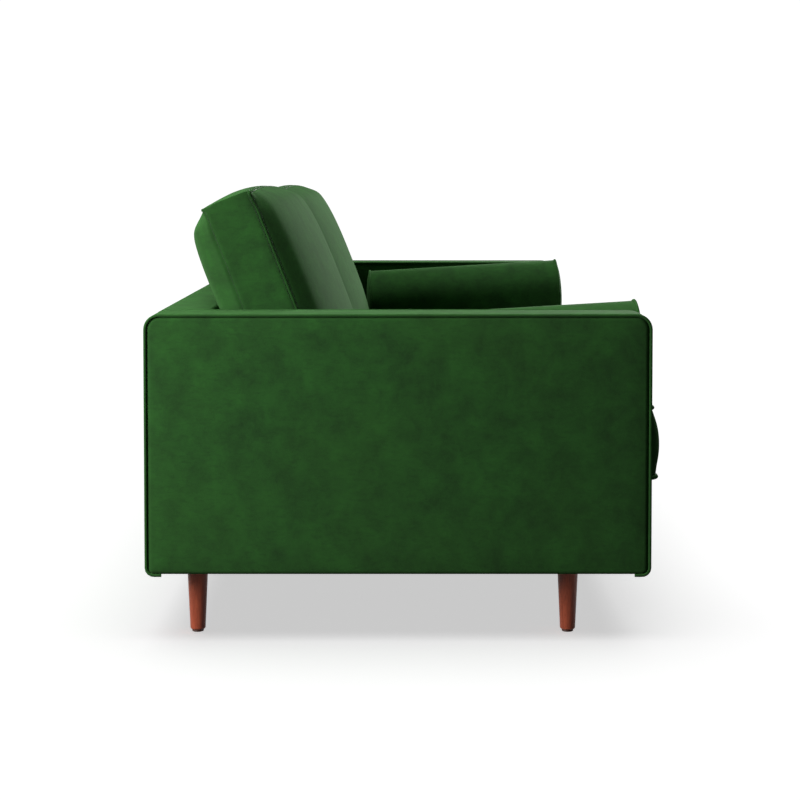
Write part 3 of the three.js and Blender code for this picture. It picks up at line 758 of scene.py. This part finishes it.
def make_inner_back():
    """The padded inner back that the loose cushions lean on."""
    low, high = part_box("back_inner_pad")
    thickness = PAD_THICKNESS / math.cos(PAD_LEAN)
    top_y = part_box("back_outer_cover")[0].y
    low = Vector((low.x, top_y, low.z))
    high = Vector((high.x, top_y + thickness, high.z - GAP))
    bm = block(low, high)
    rounded(bm, edges_at(bm, 1, low.y), PAD_RADIUS, 4)
    sliced(bm, low, high, SLICE, (0, 2))
    crowned(bm, 1, low.y, low, high, -PAD_CROWN)
    shear = Matrix.Identity(4)
    shear[1][2] = math.tan(PAD_LEAN)
    shear[1][3] = -high.z * math.tan(PAD_LEAN)
    bmesh.ops.transform(bm, matrix=shear, verts=bm.verts)
    padded_cover(bm, "inner_back_pad", "back_inner_pad")


def make_front_cover(covers):
    """The border under the seat cushion's front, with its own soft edges."""
    low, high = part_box("front_rail_cover")
    bm = block(low, high)
    rounded(bm, edges_at(bm, 1, low.y), BORDER_RADIUS, 4)
    sliced(bm, low, high, SLICE, (0, 2))
    crowned(bm, 1, low.y, low, high, -covers.panel_crown)
    padded_cover(bm, "front_border", "front_rail_cover")


def make_linings():
    """The lining over the springs and the dust cover under the frame."""
    seat_fall = math.tan(bpy.context.scene.sofa_cushions.seat_slope)
    for node, finish_name, thickness, sag, slope in (
        ("dust_cover", "lining", DUST_THICKNESS, DUST_SAG, 0.0),
        ("deck_cover", "deck lining", DECK_THICKNESS, 0.0, seat_fall),
    ):
        low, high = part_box(node)
        bm = block((low.x, low.y, high.z - thickness), high)
        sliced(bm, low, high, LINING_SLICE, (0, 1))
        for vert in bm.verts:
            u = math.sin(5 * math.pi * (vert.co.x - low.x) / (high.x - low.x)) ** 2
            v = math.sin(math.pi * (vert.co.y - low.y) / (high.y - low.y))
            vert.co.z -= sag * 0.5 * u * v + slope * (vert.co.y - low.y)
        piece = piece_from(bm, node + "_sheet", finish_name, "frame", [node])


# --- Legs ---

LEG_TOP_RADIUS, LEG_FOOT_RADIUS, LEG_FOOT_ROUND = 19.6 * MM, 14.5 * MM, 3.5 * MM
LEG_SHOULDER = 5 * MM  # straight part at the top
BOLT_BORE_RADIUS, BOLT_BORE_DEPTH = 4.4 * MM, 32 * MM
NAIL_BORE_RADIUS, NAIL_BORE_TOP = 2 * MM, 20 * MM
GLIDE_ROUND, GLIDE_TOP = 1.2 * MM, 4 * MM
NAIL_RADIUS, NAIL_TOP, NAIL_POINT = 1.6 * MM, 16.4 * MM, 18 * MM


def turned_piece(profile, centre, steps):
    """A shape turned on a lathe: radius and height pairs from one end of the axis to the other."""
    bm = bmesh.new()
    verts = [bm.verts.new((radius, 0, height)) for radius, height in profile]
    edges = [bm.edges.new(pair) for pair in zip(verts, verts[1:])]
    bmesh.ops.spin(
        bm,
        geom=verts + edges,
        cent=(0, 0, 0),
        axis=(0, 0, 1),
        angle=2 * math.pi,
        steps=steps,
        use_merge=True,
    )
    bmesh.ops.remove_doubles(bm, verts=bm.verts, dist=0.01 * MM)
    bmesh.ops.recalc_face_normals(bm, faces=bm.faces)
    bmesh.ops.translate(bm, verts=bm.verts, vec=centre)
    return bm


def foot_edge(radius, level, turn, steps):
    """Profile points from a flat foot at a level, round its edge, to a side at a radius."""
    angles = [math.pi / 2 * i / steps for i in range(steps + 1)]
    return [
        (radius - turn * (1 - math.sin(a)), level + turn * (1 - math.cos(a))) for a in angles
    ]


def make_leg(place):
    """A round leg tapered to a foot with a soft edge, and the glide nailed under it."""
    low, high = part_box(f"leg_{place}")
    centre = Vector(((low.x + high.x) / 2, (low.y + high.y) / 2, 0))
    profile = [(0, NAIL_BORE_TOP), (NAIL_BORE_RADIUS, NAIL_BORE_TOP), (NAIL_BORE_RADIUS, low.z)]
    profile += foot_edge(LEG_FOOT_RADIUS, low.z, LEG_FOOT_ROUND, 6)
    profile += [(LEG_TOP_RADIUS, high.z - LEG_SHOULDER), (LEG_TOP_RADIUS, high.z)]
    bore_foot = high.z - BOLT_BORE_DEPTH
    profile += [(BOLT_BORE_RADIUS, high.z), (BOLT_BORE_RADIUS, bore_foot), (0, bore_foot)]
    bm = turned_piece(profile, centre, 56)
    piece_from(bm, f"turned_leg_{place}", "leg wood", "frame", [f"leg_{place}"])
    glide_low, glide_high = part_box(f"glide_{place}")
    radius = (glide_high.x - glide_low.x) / 2
    profile = [(0, 0), *foot_edge(radius, 0.0, GLIDE_ROUND, 4), (radius, GLIDE_TOP)]
    profile += [(NAIL_RADIUS, GLIDE_TOP), (NAIL_RADIUS, NAIL_TOP), (0, NAIL_POINT)]
    bm = turned_piece(profile, centre, 32)
    names = [f"glide_{place}"]
    piece_from(bm, f"nail_on_glide_{place}", "nylon", "frame", names)


# --- Stuffed cushions ---

CLOTH = {
    "quality": 4,
    "mass": 0.3,
    "tension_stiffness": 12,
    "compression_stiffness": 12,
    "shear_stiffness": 4,
    "bending_stiffness": 4.0,
    "use_pressure": True,
    "vertex_group_mass": "seams",
}
SMOOTHING_ROUNDS = 12
SEAM_STEP = 4 * MM  # spacing of the points along a seam
CUSHION_ROOM = 2.5 * MM  # a cushion's seams stay this far inside its box's sides
REAR_SEAM_CORNER = 22 * MM  # radius of the back cushions' rear seam
RIM_POINTS = 120
BOLSTER_WELT_RADIUS = 2.9 * MM


def rounding(u, power):
    return max(0.0, 1 - abs(u) ** power) ** (1 / power)


def stuff_block(bm, low, high, swells):
    """Swells a block's faces between their edges. Swells go by axis and sign, such as (2, 1), and
    hold how far the middle moves and how square the swelling is each way across the face, from
    2 for a dome upwards."""
    for vert in bm.verts:
        shares = [2 * (vert.co[i] - low[i]) / (high[i] - low[i]) - 1 for i in range(3)]
        moved = Vector()
        for (axis, sign), (amount, *powers) in swells.items():
            if shares[axis] * sign > 0.999:
                first, second = [shares[i] for i in range(3) if i != axis]
                height = rounding(first, powers[0]) * rounding(second, powers[1])
                moved[axis] += sign * amount * height
        vert.co += moved


def remeshed(bm, grain):
    """The shape as one skin of even faces about `grain` across."""
    holder = linked("cover", mesh_from(bm, "cover"))
    add_modifier(holder, "REMESH", mode="VOXEL", voxel_size=grain)
    skin = baked(holder)
    holder.modifiers.clear()
    holder.data = skin
    return holder


def point_tree(points):
    tree = KDTree(len(points))
    for i, point in enumerate(points):
        tree.insert(point, i)
    tree.balance()
    return tree


def near_lines(lines):
    """A function that finds how far a point is from the nearest of some lines of points."""
    tree = point_tree([p for line in lines for p in line])
    return lambda co: tree.find(co)[2]


def smoothed(mesh, distance, grain):
    """Takes the unevenness out of a skin where it is clear of its seams."""
    bm = bmesh.new()
    bm.from_mesh(mesh)
    free = [v for v in bm.verts if distance(v.co) > 1.2 * grain]
    for _ in range(SMOOTHING_ROUNDS):
        bmesh.ops.smooth_vert(
            bm, verts=free, factor=0.5, use_axis_x=True, use_axis_y=True, use_axis_z=True
        )
    bm.to_mesh(mesh)
    bm.free()


def swollen(holder, lines, growth, grain, confine):
    """Swells a skin from within while its seams are held, and returns the skin as a mesh.
    No point moves further than the growth, or out of where confine keeps it."""
    stuffing = bpy.context.scene.sofa_stuffing
    mesh = holder.data
    distance = near_lines(lines)
    smoothed(mesh, distance, grain)
    start = [v.co.copy() for v in mesh.vertices]
    held = holder.vertex_groups.new(name="seams")
    held.add([i for i, co in enumerate(start) if distance(co) < grain * 0.9], 1.0, "REPLACE")
    cloth = holder.modifiers.new("Cloth", "CLOTH")
    for name, value in CLOTH.items():
        setattr(cloth.settings, name, value)
    cloth.settings.uniform_pressure_force = stuffing.pressure
    cloth.settings.shrink_min = -stuffing.ease
    cloth.settings.effector_weights.gravity = 0
    cloth.point_cache.frame_start = 1
    cloth.point_cache.frame_end = stuffing.steps
    scene = bpy.context.scene
    for step in range(1, stuffing.steps + 1):
        scene.frame_set(step)
    graph = bpy.context.evaluated_depsgraph_get()
    moved = [v.co.copy() for v in holder.evaluated_get(graph).data.vertices]
    holder.modifiers.clear()
    holder.vertex_groups.clear()
    scene.frame_set(1)
    for vert, before, after in zip(mesh.vertices, start, moved):
        step = after - before
        if step.length > growth:
            step *= growth / step.length
        vert.co = before + step
    smoothed(mesh, distance, grain)
    for vert in mesh.vertices:
        vert.co = confine(vert.co)
    add_modifier(holder, "SUBSURF", levels=1, render_levels=1)
    smooth = baked(holder)
    bpy.data.objects.remove(holder)
    return smooth


def creased(mesh, line, reach):
    """Draws the skin out onto a fold, so that the fold stays crisp."""
    tree = point_tree(line)
    for vert in mesh.vertices:
        place, _, away = tree.find(vert.co)
        if away < reach:
            vert.co = place


def pressed(mesh, lines, depth, width):
    """Draws the skin in along its seams, in a soft valley."""
    distance = near_lines(lines)
    normals = [v.normal.copy() for v in mesh.vertices]
    for vert, normal in zip(mesh.vertices, normals):
        away = distance(vert.co)
        if away < 3 * width:
            vert.co -= normal * depth * math.exp(-((away / width) ** 2))


def skin_tree(mesh):
    return BVHTree.FromPolygons(
        [v.co for v in mesh.vertices], [list(p.vertices) for p in mesh.polygons]
    )


def on_skin(tree, line, sunk=0.0):
    """A line's points moved to the nearest place on a skin, each with the skin's normal there."""
    places = []
    for point in line:
        place, normal, _, _ = tree.find_nearest(point)
        places.append((place - normal * sunk, normal))
    return places


def evened(points, rounds=3):
    """Smooths a closed line of points."""
    for _ in range(rounds):
        count = len(points)
        points = [
            (points[i - 1] + 2 * points[i] + points[(i + 1) % count]) / 4 for i in range(count)
        ]
    return points


def closed_welt(name, points, radius, place, body):
    """A welt or rib all round a cushion's seam."""
    tube(name, [place @ p for p in points], radius, body, closed=True)


def cushion_cover(mesh, place, body):
    """A copy of a cushion's skin in its place, faces outwards even where the place mirrors it."""
    cover = mesh.copy()
    cover.transform(place)
    if place.determinant() < 0:
        cover.flip_normals()
    piece = dress(cover, f"{body}_cover", "velvet", body, [body])


def stitch_mesh(cushions):
    """One stitch, standing on Z: a short thread with its ends drawn in."""
    bm = bmesh.new()
    bmesh.ops.create_cone(
        bm,
        cap_ends=True,
        segments=6,
        radius1=cushions.stitch_radius,
        radius2=cushions.stitch_radius,
        depth=cushions.stitch_length,
    )
    rounded(bm, [e for e in bm.edges if e.calc_length() < 0.6 * MM], 0.2 * MM, 1)
    return mesh_from(bm, "stitch")


def stitch_rows(name, tree, line, offsets, place, body):
    """Rows of stitches beside a seam, one row for each offset."""
    cushions = bpy.context.scene.sofa_cushions
    line = even_line(line, cushions.stitch_pitch, closed=True)
    points = evened([p for p, _ in on_skin(tree, line)])
    count = len(points)
    shifted = []
    for i, (point, normal) in enumerate(on_skin(tree, points)):
        along = (points[(i + 1) % count] - points[i - 1]).normalized()
        aside = normal.cross(along)
        shifted += [(point + aside * offset, along) for offset in offsets]
    seated = on_skin(tree, [p for p, _ in shifted], -0.2 * MM)
    stitch = stitch_mesh(cushions)
    bm = bmesh.new()
    for (point, normal), (_, along) in zip(seated, shifted):
        turn = along.to_track_quat("Z", "X").to_matrix().to_4x4()
        pose = place @ Matrix.Translation(point) @ turn
        stitch.transform(pose)
        bm.from_mesh(stitch)
        stitch.transform(pose.inverted())
    bpy.data.meshes.remove(stitch)
    bmesh.ops.recalc_face_normals(bm, faces=bm.faces)
    piece_from(bm, name, "thread", body)


def seat_place(cushions):
    """Where the seat cushion's lower front seam lies, tilted as the seat is, and its depth."""
    low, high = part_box("seat_cushion")
    slope = cushions.seat_slope
    deck_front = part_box("deck_cover")
    front = low.y + cushions.seat_front * math.cos(slope)
    front -= cushions.seat_boxing / 2 * math.sin(slope)
    height = deck_front[1].z + GAP / math.cos(slope)
    height -= (front - deck_front[0].y) * math.tan(slope)
    depth = (high.y - front - cushions.seat_boxing * math.sin(slope)) / math.cos(slope)
    place = Matrix.Translation((0, front, height)) @ Matrix.Rotation(-slope, 4, "X")
    return place, depth


def rectangle(low, high, axis, level, radius, spacing):
    """A closed line round a box at one level of an axis, with its corners rounded."""
    first, second = [i for i in range(3) if i != axis]
    corners = []
    for a, b in ((low, low), (high, low), (high, high), (low, high)):
        corner = Vector()
        corner[axis], corner[first], corner[second] = level, a[first], b[second]
        corners.append(corner)
    return even_line(rounded_line(corners, [radius] * 4, closed=True), spacing, closed=True)


def make_seat_cushion():
    """The long seat cushion: foam in a boxed cover, with a welt round its top and bottom."""
    cushions, stuffing = bpy.context.scene.sofa_cushions, bpy.context.scene.sofa_stuffing
    place, depth = seat_place(cushions)
    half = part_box("seat_cushion")[1].x - CUSHION_ROOM
    low, high = Vector((-half, 0, 0)), Vector((half, depth, cushions.seat_boxing))
    growth = stuffing.growth
    swells = {
        (2, 1): (cushions.seat_crown - growth, 3.0, 3.0),
        (1, -1): (cushions.seat_front + 10 * MM, 12.0, 2.0),
    }
    bm = block(low, high)
    rounded(bm, edges_along(bm, 2), cushions.seat_corner, 6)
    sliced(bm, low, high, 60 * MM)
    stuff_block(bm, low, high, swells)
    holder = remeshed(bm, stuffing.seat_grain)
    corner = cushions.seat_corner
    lines = [rectangle(low, high, 2, level, corner, 5 * MM) for level in (low.z, high.z)]

    def confine(co):
        return Vector(
            (
                min(max(co.x, -half - 1.5 * MM), half + 1.5 * MM),
                min(max(co.y, -cushions.seat_front - 8 * MM), depth + 6 * MM),
                max(co.z, 0.0),
            )
        )

    mesh = swollen(holder, lines, growth, stuffing.seat_grain, confine)
    pressed(mesh, lines, 2.0 * MM, 7 * MM)
    body = "seat_cushion"
    for name, line in zip(("lower", "upper"), lines):
        closed_welt(f"{body}_{name}_welt", line, cushions.welt_radius, place, body)
    cushion_cover(mesh, place, body)
    bpy.data.meshes.remove(mesh)


def back_place(side, cushions):
    """Where a back cushion's foot lies, tilted as the cushion leans."""
    low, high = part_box(f"back_cushion_{side}")
    lean = cushions.back_lean
    foot = back_foot(cushions)
    depth = cushions.back_boxing
    y = foot.y + depth * math.cos(lean)
    z = foot.z - depth * math.sin(lean)
    return Matrix.Translation(((low.x + high.x) / 2, y, z)) @ Matrix.Rotation(-lean, 4, "X")


def back_foot(cushions):
    """Foot of the back cushions' front seam."""
    back_low, back_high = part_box("back_outer_cover")
    lean, slope = cushions.back_lean, cushions.seat_slope
    off = cushions.back_rear_room + cushions.back_boxing
    at_floor = back_low.y - off / math.cos(lean) - back_high.z * math.tan(lean)
    deck_low, deck_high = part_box("deck_cover")
    above = GAP + cushions.seat_boxing + cushions.seat_crown + 2 * MM
    height = deck_high.z + above / math.cos(slope)
    z = height - (at_floor - deck_low.y) * math.tan(slope)
    z /= 1 + math.tan(lean) * math.tan(slope)
    return Vector((0, at_floor + z * math.tan(lean), z))


def make_back_cushions():
    """Two back cushions: soft fill in boxed covers, a ribbed double seam round the front and a
    plain one round the rear. The right one is the left one's mirror image, as they are cut."""
    cushions, stuffing = bpy.context.scene.sofa_cushions, bpy.context.scene.sofa_stuffing
    box_low, box_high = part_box("back_cushion_left")
    half = (box_high.x - box_low.x) / 2 - CUSHION_ROOM
    depth, height = cushions.back_boxing, cushions.back_height
    low, high = Vector((-half, -depth, 0)), Vector((half, 0, height))
    growth = stuffing.growth
    swells = {
        (1, -1): (cushions.back_front - growth, 2.2, 2.9),
        (1, 1): (cushions.back_rear - growth, 3.6, 4.0),
        (2, 1): (cushions.back_top - 5 * MM, 2.4, 2.2),
    }
    rise = math.tan(cushions.back_lean - cushions.seat_slope)

    def lifted(co):
        """The foot cut to the seat's slope, the top arched between its corners, and the rear
        swelling thinned towards its foot."""
        foot = max(0.0, 1 - co.z / height) * rise * (co.y + depth)
        forward = min(1.0, max(0.0, -co.y / depth))
        arch = cushions.back_rear_arch * (1 - forward) + cushions.back_arch * forward
        top = arch * max(0.0, 1 - (co.x / half) ** 2) * max(0.0, co.z / height) ** 3
        slump = 1 - cushions.back_slump * (1 - co.z / height) if co.y > 0 else 1.0
        return Vector((co.x, co.y * slump, co.z + foot + top))

    bm = block(low, high)
    rounded(bm, edges_along(bm, 1), cushions.back_corner, 5)
    sliced(bm, low, high, 40 * MM)
    stuff_block(bm, low, high, swells)
    for vert in bm.verts:
        vert.co = lifted(vert.co)
    holder = remeshed(bm, stuffing.back_grain)
    corner = cushions.back_corner
    front = [lifted(p) for p in rectangle(low, high, 1, low.y, corner, SEAM_STEP)]
    rear = [lifted(p) for p in rectangle(low, high, 1, high.y, REAR_SEAM_CORNER, SEAM_STEP)]
    edges = [
        even_line(
            [Vector((x, -depth, height)), Vector((x, -REAR_SEAM_CORNER, height))], SEAM_STEP / 2
        )
        for x in (-half, half)
    ]
    for edge_line in edges:
        creased(holder.data, edge_line, 0.8 * stuffing.back_grain)
    upright = back_place("left", cushions)
    back_low, back_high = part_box("back_outer_cover")
    top_edge = Vector((0, back_low.y, back_high.z))
    edge = upright.inverted() @ top_edge

    def confine(co):
        """Keeps a point between the arms, above the seat and off the back."""
        lowest = rise * (co.y + depth) if co.y > -depth else 0.0
        kept = Vector(
            (min(max(co.x, -half - 2 * MM), half + 2 * MM), co.y, max(co.z, lowest - 1 * MM))
        )
        room = edge.y - 2 * MM
        above = (upright @ kept).z - top_edge.z - 1.5 * MM
        if kept.y > room and above < 0:
            if kept.y - room < -above:
                kept.y = room
            else:
                kept.z -= above / math.cos(cushions.back_lean)
        return kept

    for vert in holder.data.vertices:
        vert.co = confine(vert.co)
    mesh = swollen(holder, [front, rear, *edges], growth, stuffing.back_grain, confine)
    pressed(mesh, [front], 3.0 * MM, 9 * MM)
    pressed(mesh, [rear], 3.2 * MM, 4.5 * MM)
    tree = skin_tree(mesh)
    for side, sign in SIDES.items():
        body = f"back_cushion_{side}"
        mirror = Matrix.Diagonal((-sign, 1, 1, 1))
        settled = 1 - getattr(cushions, f"{side}_settle") / height
        place = back_place(side, cushions) @ Matrix.Diagonal((1, 1, settled, 1)) @ mirror
        rib = cushions.rib_radius
        ribbed = evened([p for p, _ in on_skin(tree, front, rib * 0.62)])
        closed_welt(f"{body}_rib", ribbed, rib, place, body)
        stitch_rows(f"{body}_front_stitches", tree, front, (-rib, rib), place, body)
        stitch_rows(f"{body}_rear_stitches", tree, rear, (2.2 * MM,), place, body)
        cushion_cover(mesh, place, body)
    bpy.data.meshes.remove(mesh)


def make_bolsters():
    """Two round bolsters with a welt at each rim and softly domed ends."""
    cushions, stuffing = bpy.context.scene.sofa_cushions, bpy.context.scene.sofa_stuffing
    slope = cushions.seat_slope
    deck_low, deck_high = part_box("deck_cover")
    radius, dome = cushions.bolster_radius, cushions.bolster_dome
    above = GAP + cushions.seat_boxing + cushions.bolster_rise + radius
    height = deck_high.z + above / math.cos(slope)
    length = (cushions.bolster_reach - deck_low.y) / math.cos(slope)
    growth = stuffing.bolster_growth
    rim_radius = radius - 1.5 * MM
    profile = []
    for i in range(9):
        angle = math.pi / 2 * i / 8
        profile.append((rim_radius * math.sin(angle), -(dome - growth) * math.cos(angle)))
    profile += [(rim_radius, 8 * MM), (radius - growth / 2, 45 * MM)]
    profile += [(r, length - s) for r, s in reversed(profile)]
    bm = turned_piece(profile, Vector(), 64)
    upright = Matrix.Rotation(-math.pi / 2, 4, "X")
    bmesh.ops.transform(bm, matrix=upright, verts=bm.verts)
    holder = remeshed(bm, stuffing.bolster_grain)
    angles = [2 * math.pi * i / RIM_POINTS for i in range(RIM_POINTS)]
    ring = [Vector((math.sin(a), 0, math.cos(a))) * rim_radius for a in angles]
    rims = [[p + Vector((0, s, 0)) for p in ring] for s in (0.0, length)]
    mesh = swollen(holder, rims, growth, stuffing.bolster_grain, lambda co: co)
    for side, sign in SIDES.items():
        body = f"bolster_{side}"
        low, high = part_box(body)
        centre = Vector(((low.x + high.x) / 2, deck_low.y, height))
        place = Matrix.Translation(centre) @ Matrix.Rotation(-slope, 4, "X")
        place = place @ Matrix.Diagonal((-sign, 1, 1, 1))
        for name, rim in zip(("front", "rear"), rims):
            closed_welt(f"{body}_{name}_welt", rim, BOLSTER_WELT_RADIUS, place, body)
        cushion_cover(mesh, place, body)
    bpy.data.meshes.remove(mesh)


# --- The frame's own finishes ---

FRAME_FINISHES = {
    "arm_bolt": "bolt steel",
    "leg_bolt": "bolt steel",
    "seat_spring": "spring steel",
    "glide": "nylon",
}


def finish_frame():
    """Gives the frame's rails, springs and bolts their finishes through their own material."""
    for name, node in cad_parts.items():
        kind = next((f for start, f in FRAME_FINISHES.items() if name.startswith(start)), None)
        material = finish(kind or "frame wood")
        if node.material_slots:
            for slot in node.material_slots:
                slot.material = material
        else:
            node.data.materials.append(material)


# --- Studio ---

FLOOR_HALF = 40
SEEN_SKY = 1.05  # brightness of the surroundings as the camera sees them
SUN_PLACES = {"overhead": (0.35, 0.3, 3.0), "floor_overhead": (0.2, 0.2, 3.0)}
SUN_SPREADS = {"overhead": 30, "floor_overhead": 72}  # degrees: the wider, the softer
SOFTBOX_SIZE = (1.0, 1.4)
KEY_PLACE, KEY_TARGET = (-2.1, 1.7, 1.25), (-1.1, 0.35, 0.5)
FAR_PLACE, FAR_TARGET = (3.6, -1.6, 1.6), (0.0, 0.0, 0.5)


def make_floor(studio):
    bm = bmesh.new()
    bmesh.ops.create_grid(bm, x_segments=8, y_segments=8, size=FLOOR_HALF)
    mesh = mesh_from(bm, "studio_floor")
    floor = linked("studio_floor", mesh)
    values = {
        "Base Color": rgba(linear("#eeeeee")),
        "Roughness": 0.9,
        "Specular IOR Level": 0.0,
        "Emission Color": (1, 1, 1, 1),
        "Emission Strength": studio.floor_glow,
    }
    mesh.materials.append(new_material("matt white vinyl", values)[0])
    floor.visible_diffuse = False
    return floor


def make_lights(studio, floor):
    """Soft overhead light, and two softboxes flagged off the floor so that it stays even."""
    world = bpy.data.worlds.new("studio_surroundings")
    bpy.context.scene.world = world
    world.use_nodes = True
    tree = world.node_tree
    tree.nodes.clear()
    cast, seen = [
        add_node(tree, "ShaderNodeBackground", {"Color": (1, 1, 1, 1), "Strength": strength})
        for strength in (studio.sky, SEEN_SKY)
    ]
    ray = add_node(tree, "ShaderNodeLightPath").outputs["Is Camera Ray"]
    mixing = {0: ray, 1: cast.outputs[0], 2: seen.outputs[0]}
    mix = add_node(tree, "ShaderNodeMixShader", links=mixing)
    add_node(tree, "ShaderNodeOutputWorld", links={"Surface": mix.outputs[0]})
    flagged = bpy.data.collections.new("flagged_off_the_floor")
    kept_on = bpy.data.collections.new("kept_on_the_floor")
    for group, state in ((flagged, "EXCLUDE"), (kept_on, "INCLUDE")):
        group.objects.link(floor)
        group.collection_objects[0].light_linking.link_state = state
    for name, energy, receiver in (
        ("overhead", studio.sun, flagged),
        ("floor_overhead", studio.floor_sun, kept_on),
    ):
        sun = bpy.data.lights.new(name, "SUN")
        sun.energy = energy
        sun.angle = math.radians(SUN_SPREADS[name])
        aim_light(sun, SUN_PLACES[name], (0, 0, 0), receiver)
    for name, power, place, target in (
        ("key_softbox", studio.key, KEY_PLACE, KEY_TARGET),
        ("far_softbox", studio.fill, FAR_PLACE, FAR_TARGET),
    ):
        light = bpy.data.lights.new(name, "AREA")
        light.shape = "RECTANGLE"
        light.size, light.size_y = SOFTBOX_SIZE
        light.energy = power
        aim_light(light, place, target, flagged)


def aim_light(light, place, target, receiver):
    """Sets up a lamp that lights only what its receiver collection lets it."""
    lamp = linked(light.name, light)
    lamp.location = place
    lamp.rotation_mode = "QUATERNION"
    lamp.rotation_quaternion = (Vector(target) - Vector(place)).to_track_quat("-Z", "Y")
    lamp.visible_camera = False
    lamp.light_linking.receiver_collection = receiver


def make_camera(studio):
    camera = bpy.data.cameras.new("studio_camera")
    camera.lens, camera.sensor_width = studio.lens, 36.0
    camera.shift_x, camera.shift_y = studio.aside, studio.rise
    camera.clip_end = 200.0
    holder = linked("studio_camera", camera)
    holder.location = studio.place
    holder.rotation_euler = (math.pi / 2 - studio.pitch, 0, -math.pi / 2)
    bpy.context.scene.camera = holder


# --- Operators and panel ---


class SOFA_OT_stage(bpy.types.Operator):
    """Lays the studio floor, lights it and sets up the camera."""

    bl_idname = "sofa.stage"
    bl_label = "Studio"

    def execute(self, context):
        studio = context.scene.sofa_studio
        make_camera(studio)
        make_lights(studio, make_floor(studio))
        context.scene.view_settings.view_transform = "Standard"
        return {"FINISHED"}


class SOFA_OT_frame(bpy.types.Operator):
    """Gives the wooden frame, its springs and its bolts their finishes."""

    bl_idname = "sofa.frame"
    bl_label = "Frame finishes"

    def execute(self, context):
        finish_frame()
        return {"FINISHED"}


class SOFA_OT_legs(bpy.types.Operator):
    """Turns the legs and fits their glides."""

    bl_idname = "sofa.legs"
    bl_label = "Legs"

    def execute(self, context):
        for place in LEG_PLACES:
            make_leg(place)
        return {"FINISHED"}


class SOFA_OT_arms(bpy.types.Operator):
    """Covers both arms with padded panels, boxing and welts."""

    bl_idname = "sofa.arms"
    bl_label = "Arms"

    def execute(self, context):
        covers = context.scene.sofa_covers
        for side in SIDES:
            for which in ("outer", "inner"):
                make_arm_panel(side, which, covers)
            make_arm_band(side, covers)
            make_arm_welts(side, covers)
        return {"FINISHED"}


class SOFA_OT_back(bpy.types.Operator):
    """Covers the back's rear, top and padded inside."""

    bl_idname = "sofa.back"
    bl_label = "Back"

    def execute(self, context):
        make_back_cover(context.scene.sofa_covers)
        make_inner_back()
        return {"FINISHED"}


class SOFA_OT_base(bpy.types.Operator):
    """Covers the front rail and lines the deck and the underside."""

    bl_idname = "sofa.base"
    bl_label = "Front border and linings"

    def execute(self, context):
        make_front_cover(context.scene.sofa_covers)
        make_linings()
        return {"FINISHED"}


class SOFA_OT_seat_cushion(bpy.types.Operator):
    """Stuffs the long seat cushion and sews its welts."""

    bl_idname = "sofa.seat_cushion"
    bl_label = "Seat cushion"

    def execute(self, context):
        make_seat_cushion()
        return {"FINISHED"}


class SOFA_OT_back_cushions(bpy.types.Operator):
    """Stuffs the two back cushions and sews their seams."""

    bl_idname = "sofa.back_cushions"
    bl_label = "Back cushions"

    def execute(self, context):
        make_back_cushions()
        return {"FINISHED"}


class SOFA_OT_bolsters(bpy.types.Operator):
    """Stuffs the two bolsters and sews their welts."""

    bl_idname = "sofa.bolsters"
    bl_label = "Bolsters"

    def execute(self, context):
        make_bolsters()
        return {"FINISHED"}


GROUPS = {
    "sofa_velvet": SofaVelvet,
    "sofa_wood": SofaWood,
    "sofa_covers": SofaCovers,
    "sofa_cushions": SofaCushions,
    "sofa_stuffing": SofaStuffing,
    "sofa_studio": SofaStudio,
}
OPERATORS = (
    SOFA_OT_stage,
    SOFA_OT_frame,
    SOFA_OT_legs,
    SOFA_OT_arms,
    SOFA_OT_back,
    SOFA_OT_base,
    SOFA_OT_seat_cushion,
    SOFA_OT_back_cushions,
    SOFA_OT_bolsters,
)


class SOFA_PT_panel(bpy.types.Panel):
    """Lists the sofa's sizes, colours and operators."""

    bl_idname = "SOFA_PT_panel"
    bl_label = "Sofa"
    bl_space_type = "VIEW_3D"
    bl_region_type = "UI"
    bl_category = "Sofa"

    def draw(self, context):
        for name, group in GROUPS.items():
            box = self.layout.box()
            box.label(text=group.__name__.replace("Sofa", ""))
            for prop in group.__annotations__:
                box.prop(getattr(context.scene, name), prop)
        for operator in OPERATORS:
            self.layout.operator(operator.bl_idname)


def register():
    for name, group in GROUPS.items():
        bpy.utils.register_class(group)
        setattr(bpy.types.Scene, name, PointerProperty(type=group))
    for cls in (*OPERATORS, SOFA_PT_panel):
        bpy.utils.register_class(cls)


def unregister():
    for cls in reversed((*OPERATORS, SOFA_PT_panel)):
        bpy.utils.unregister_class(cls)
    for name, group in reversed(GROUPS.items()):
        delattr(bpy.types.Scene, name)
        bpy.utils.unregister_class(group)


def main():
    register()
    for operator in OPERATORS:
        getattr(bpy.ops.sofa, operator.bl_idname.removeprefix("sofa."))()


if __name__ == "__main__":
    main()
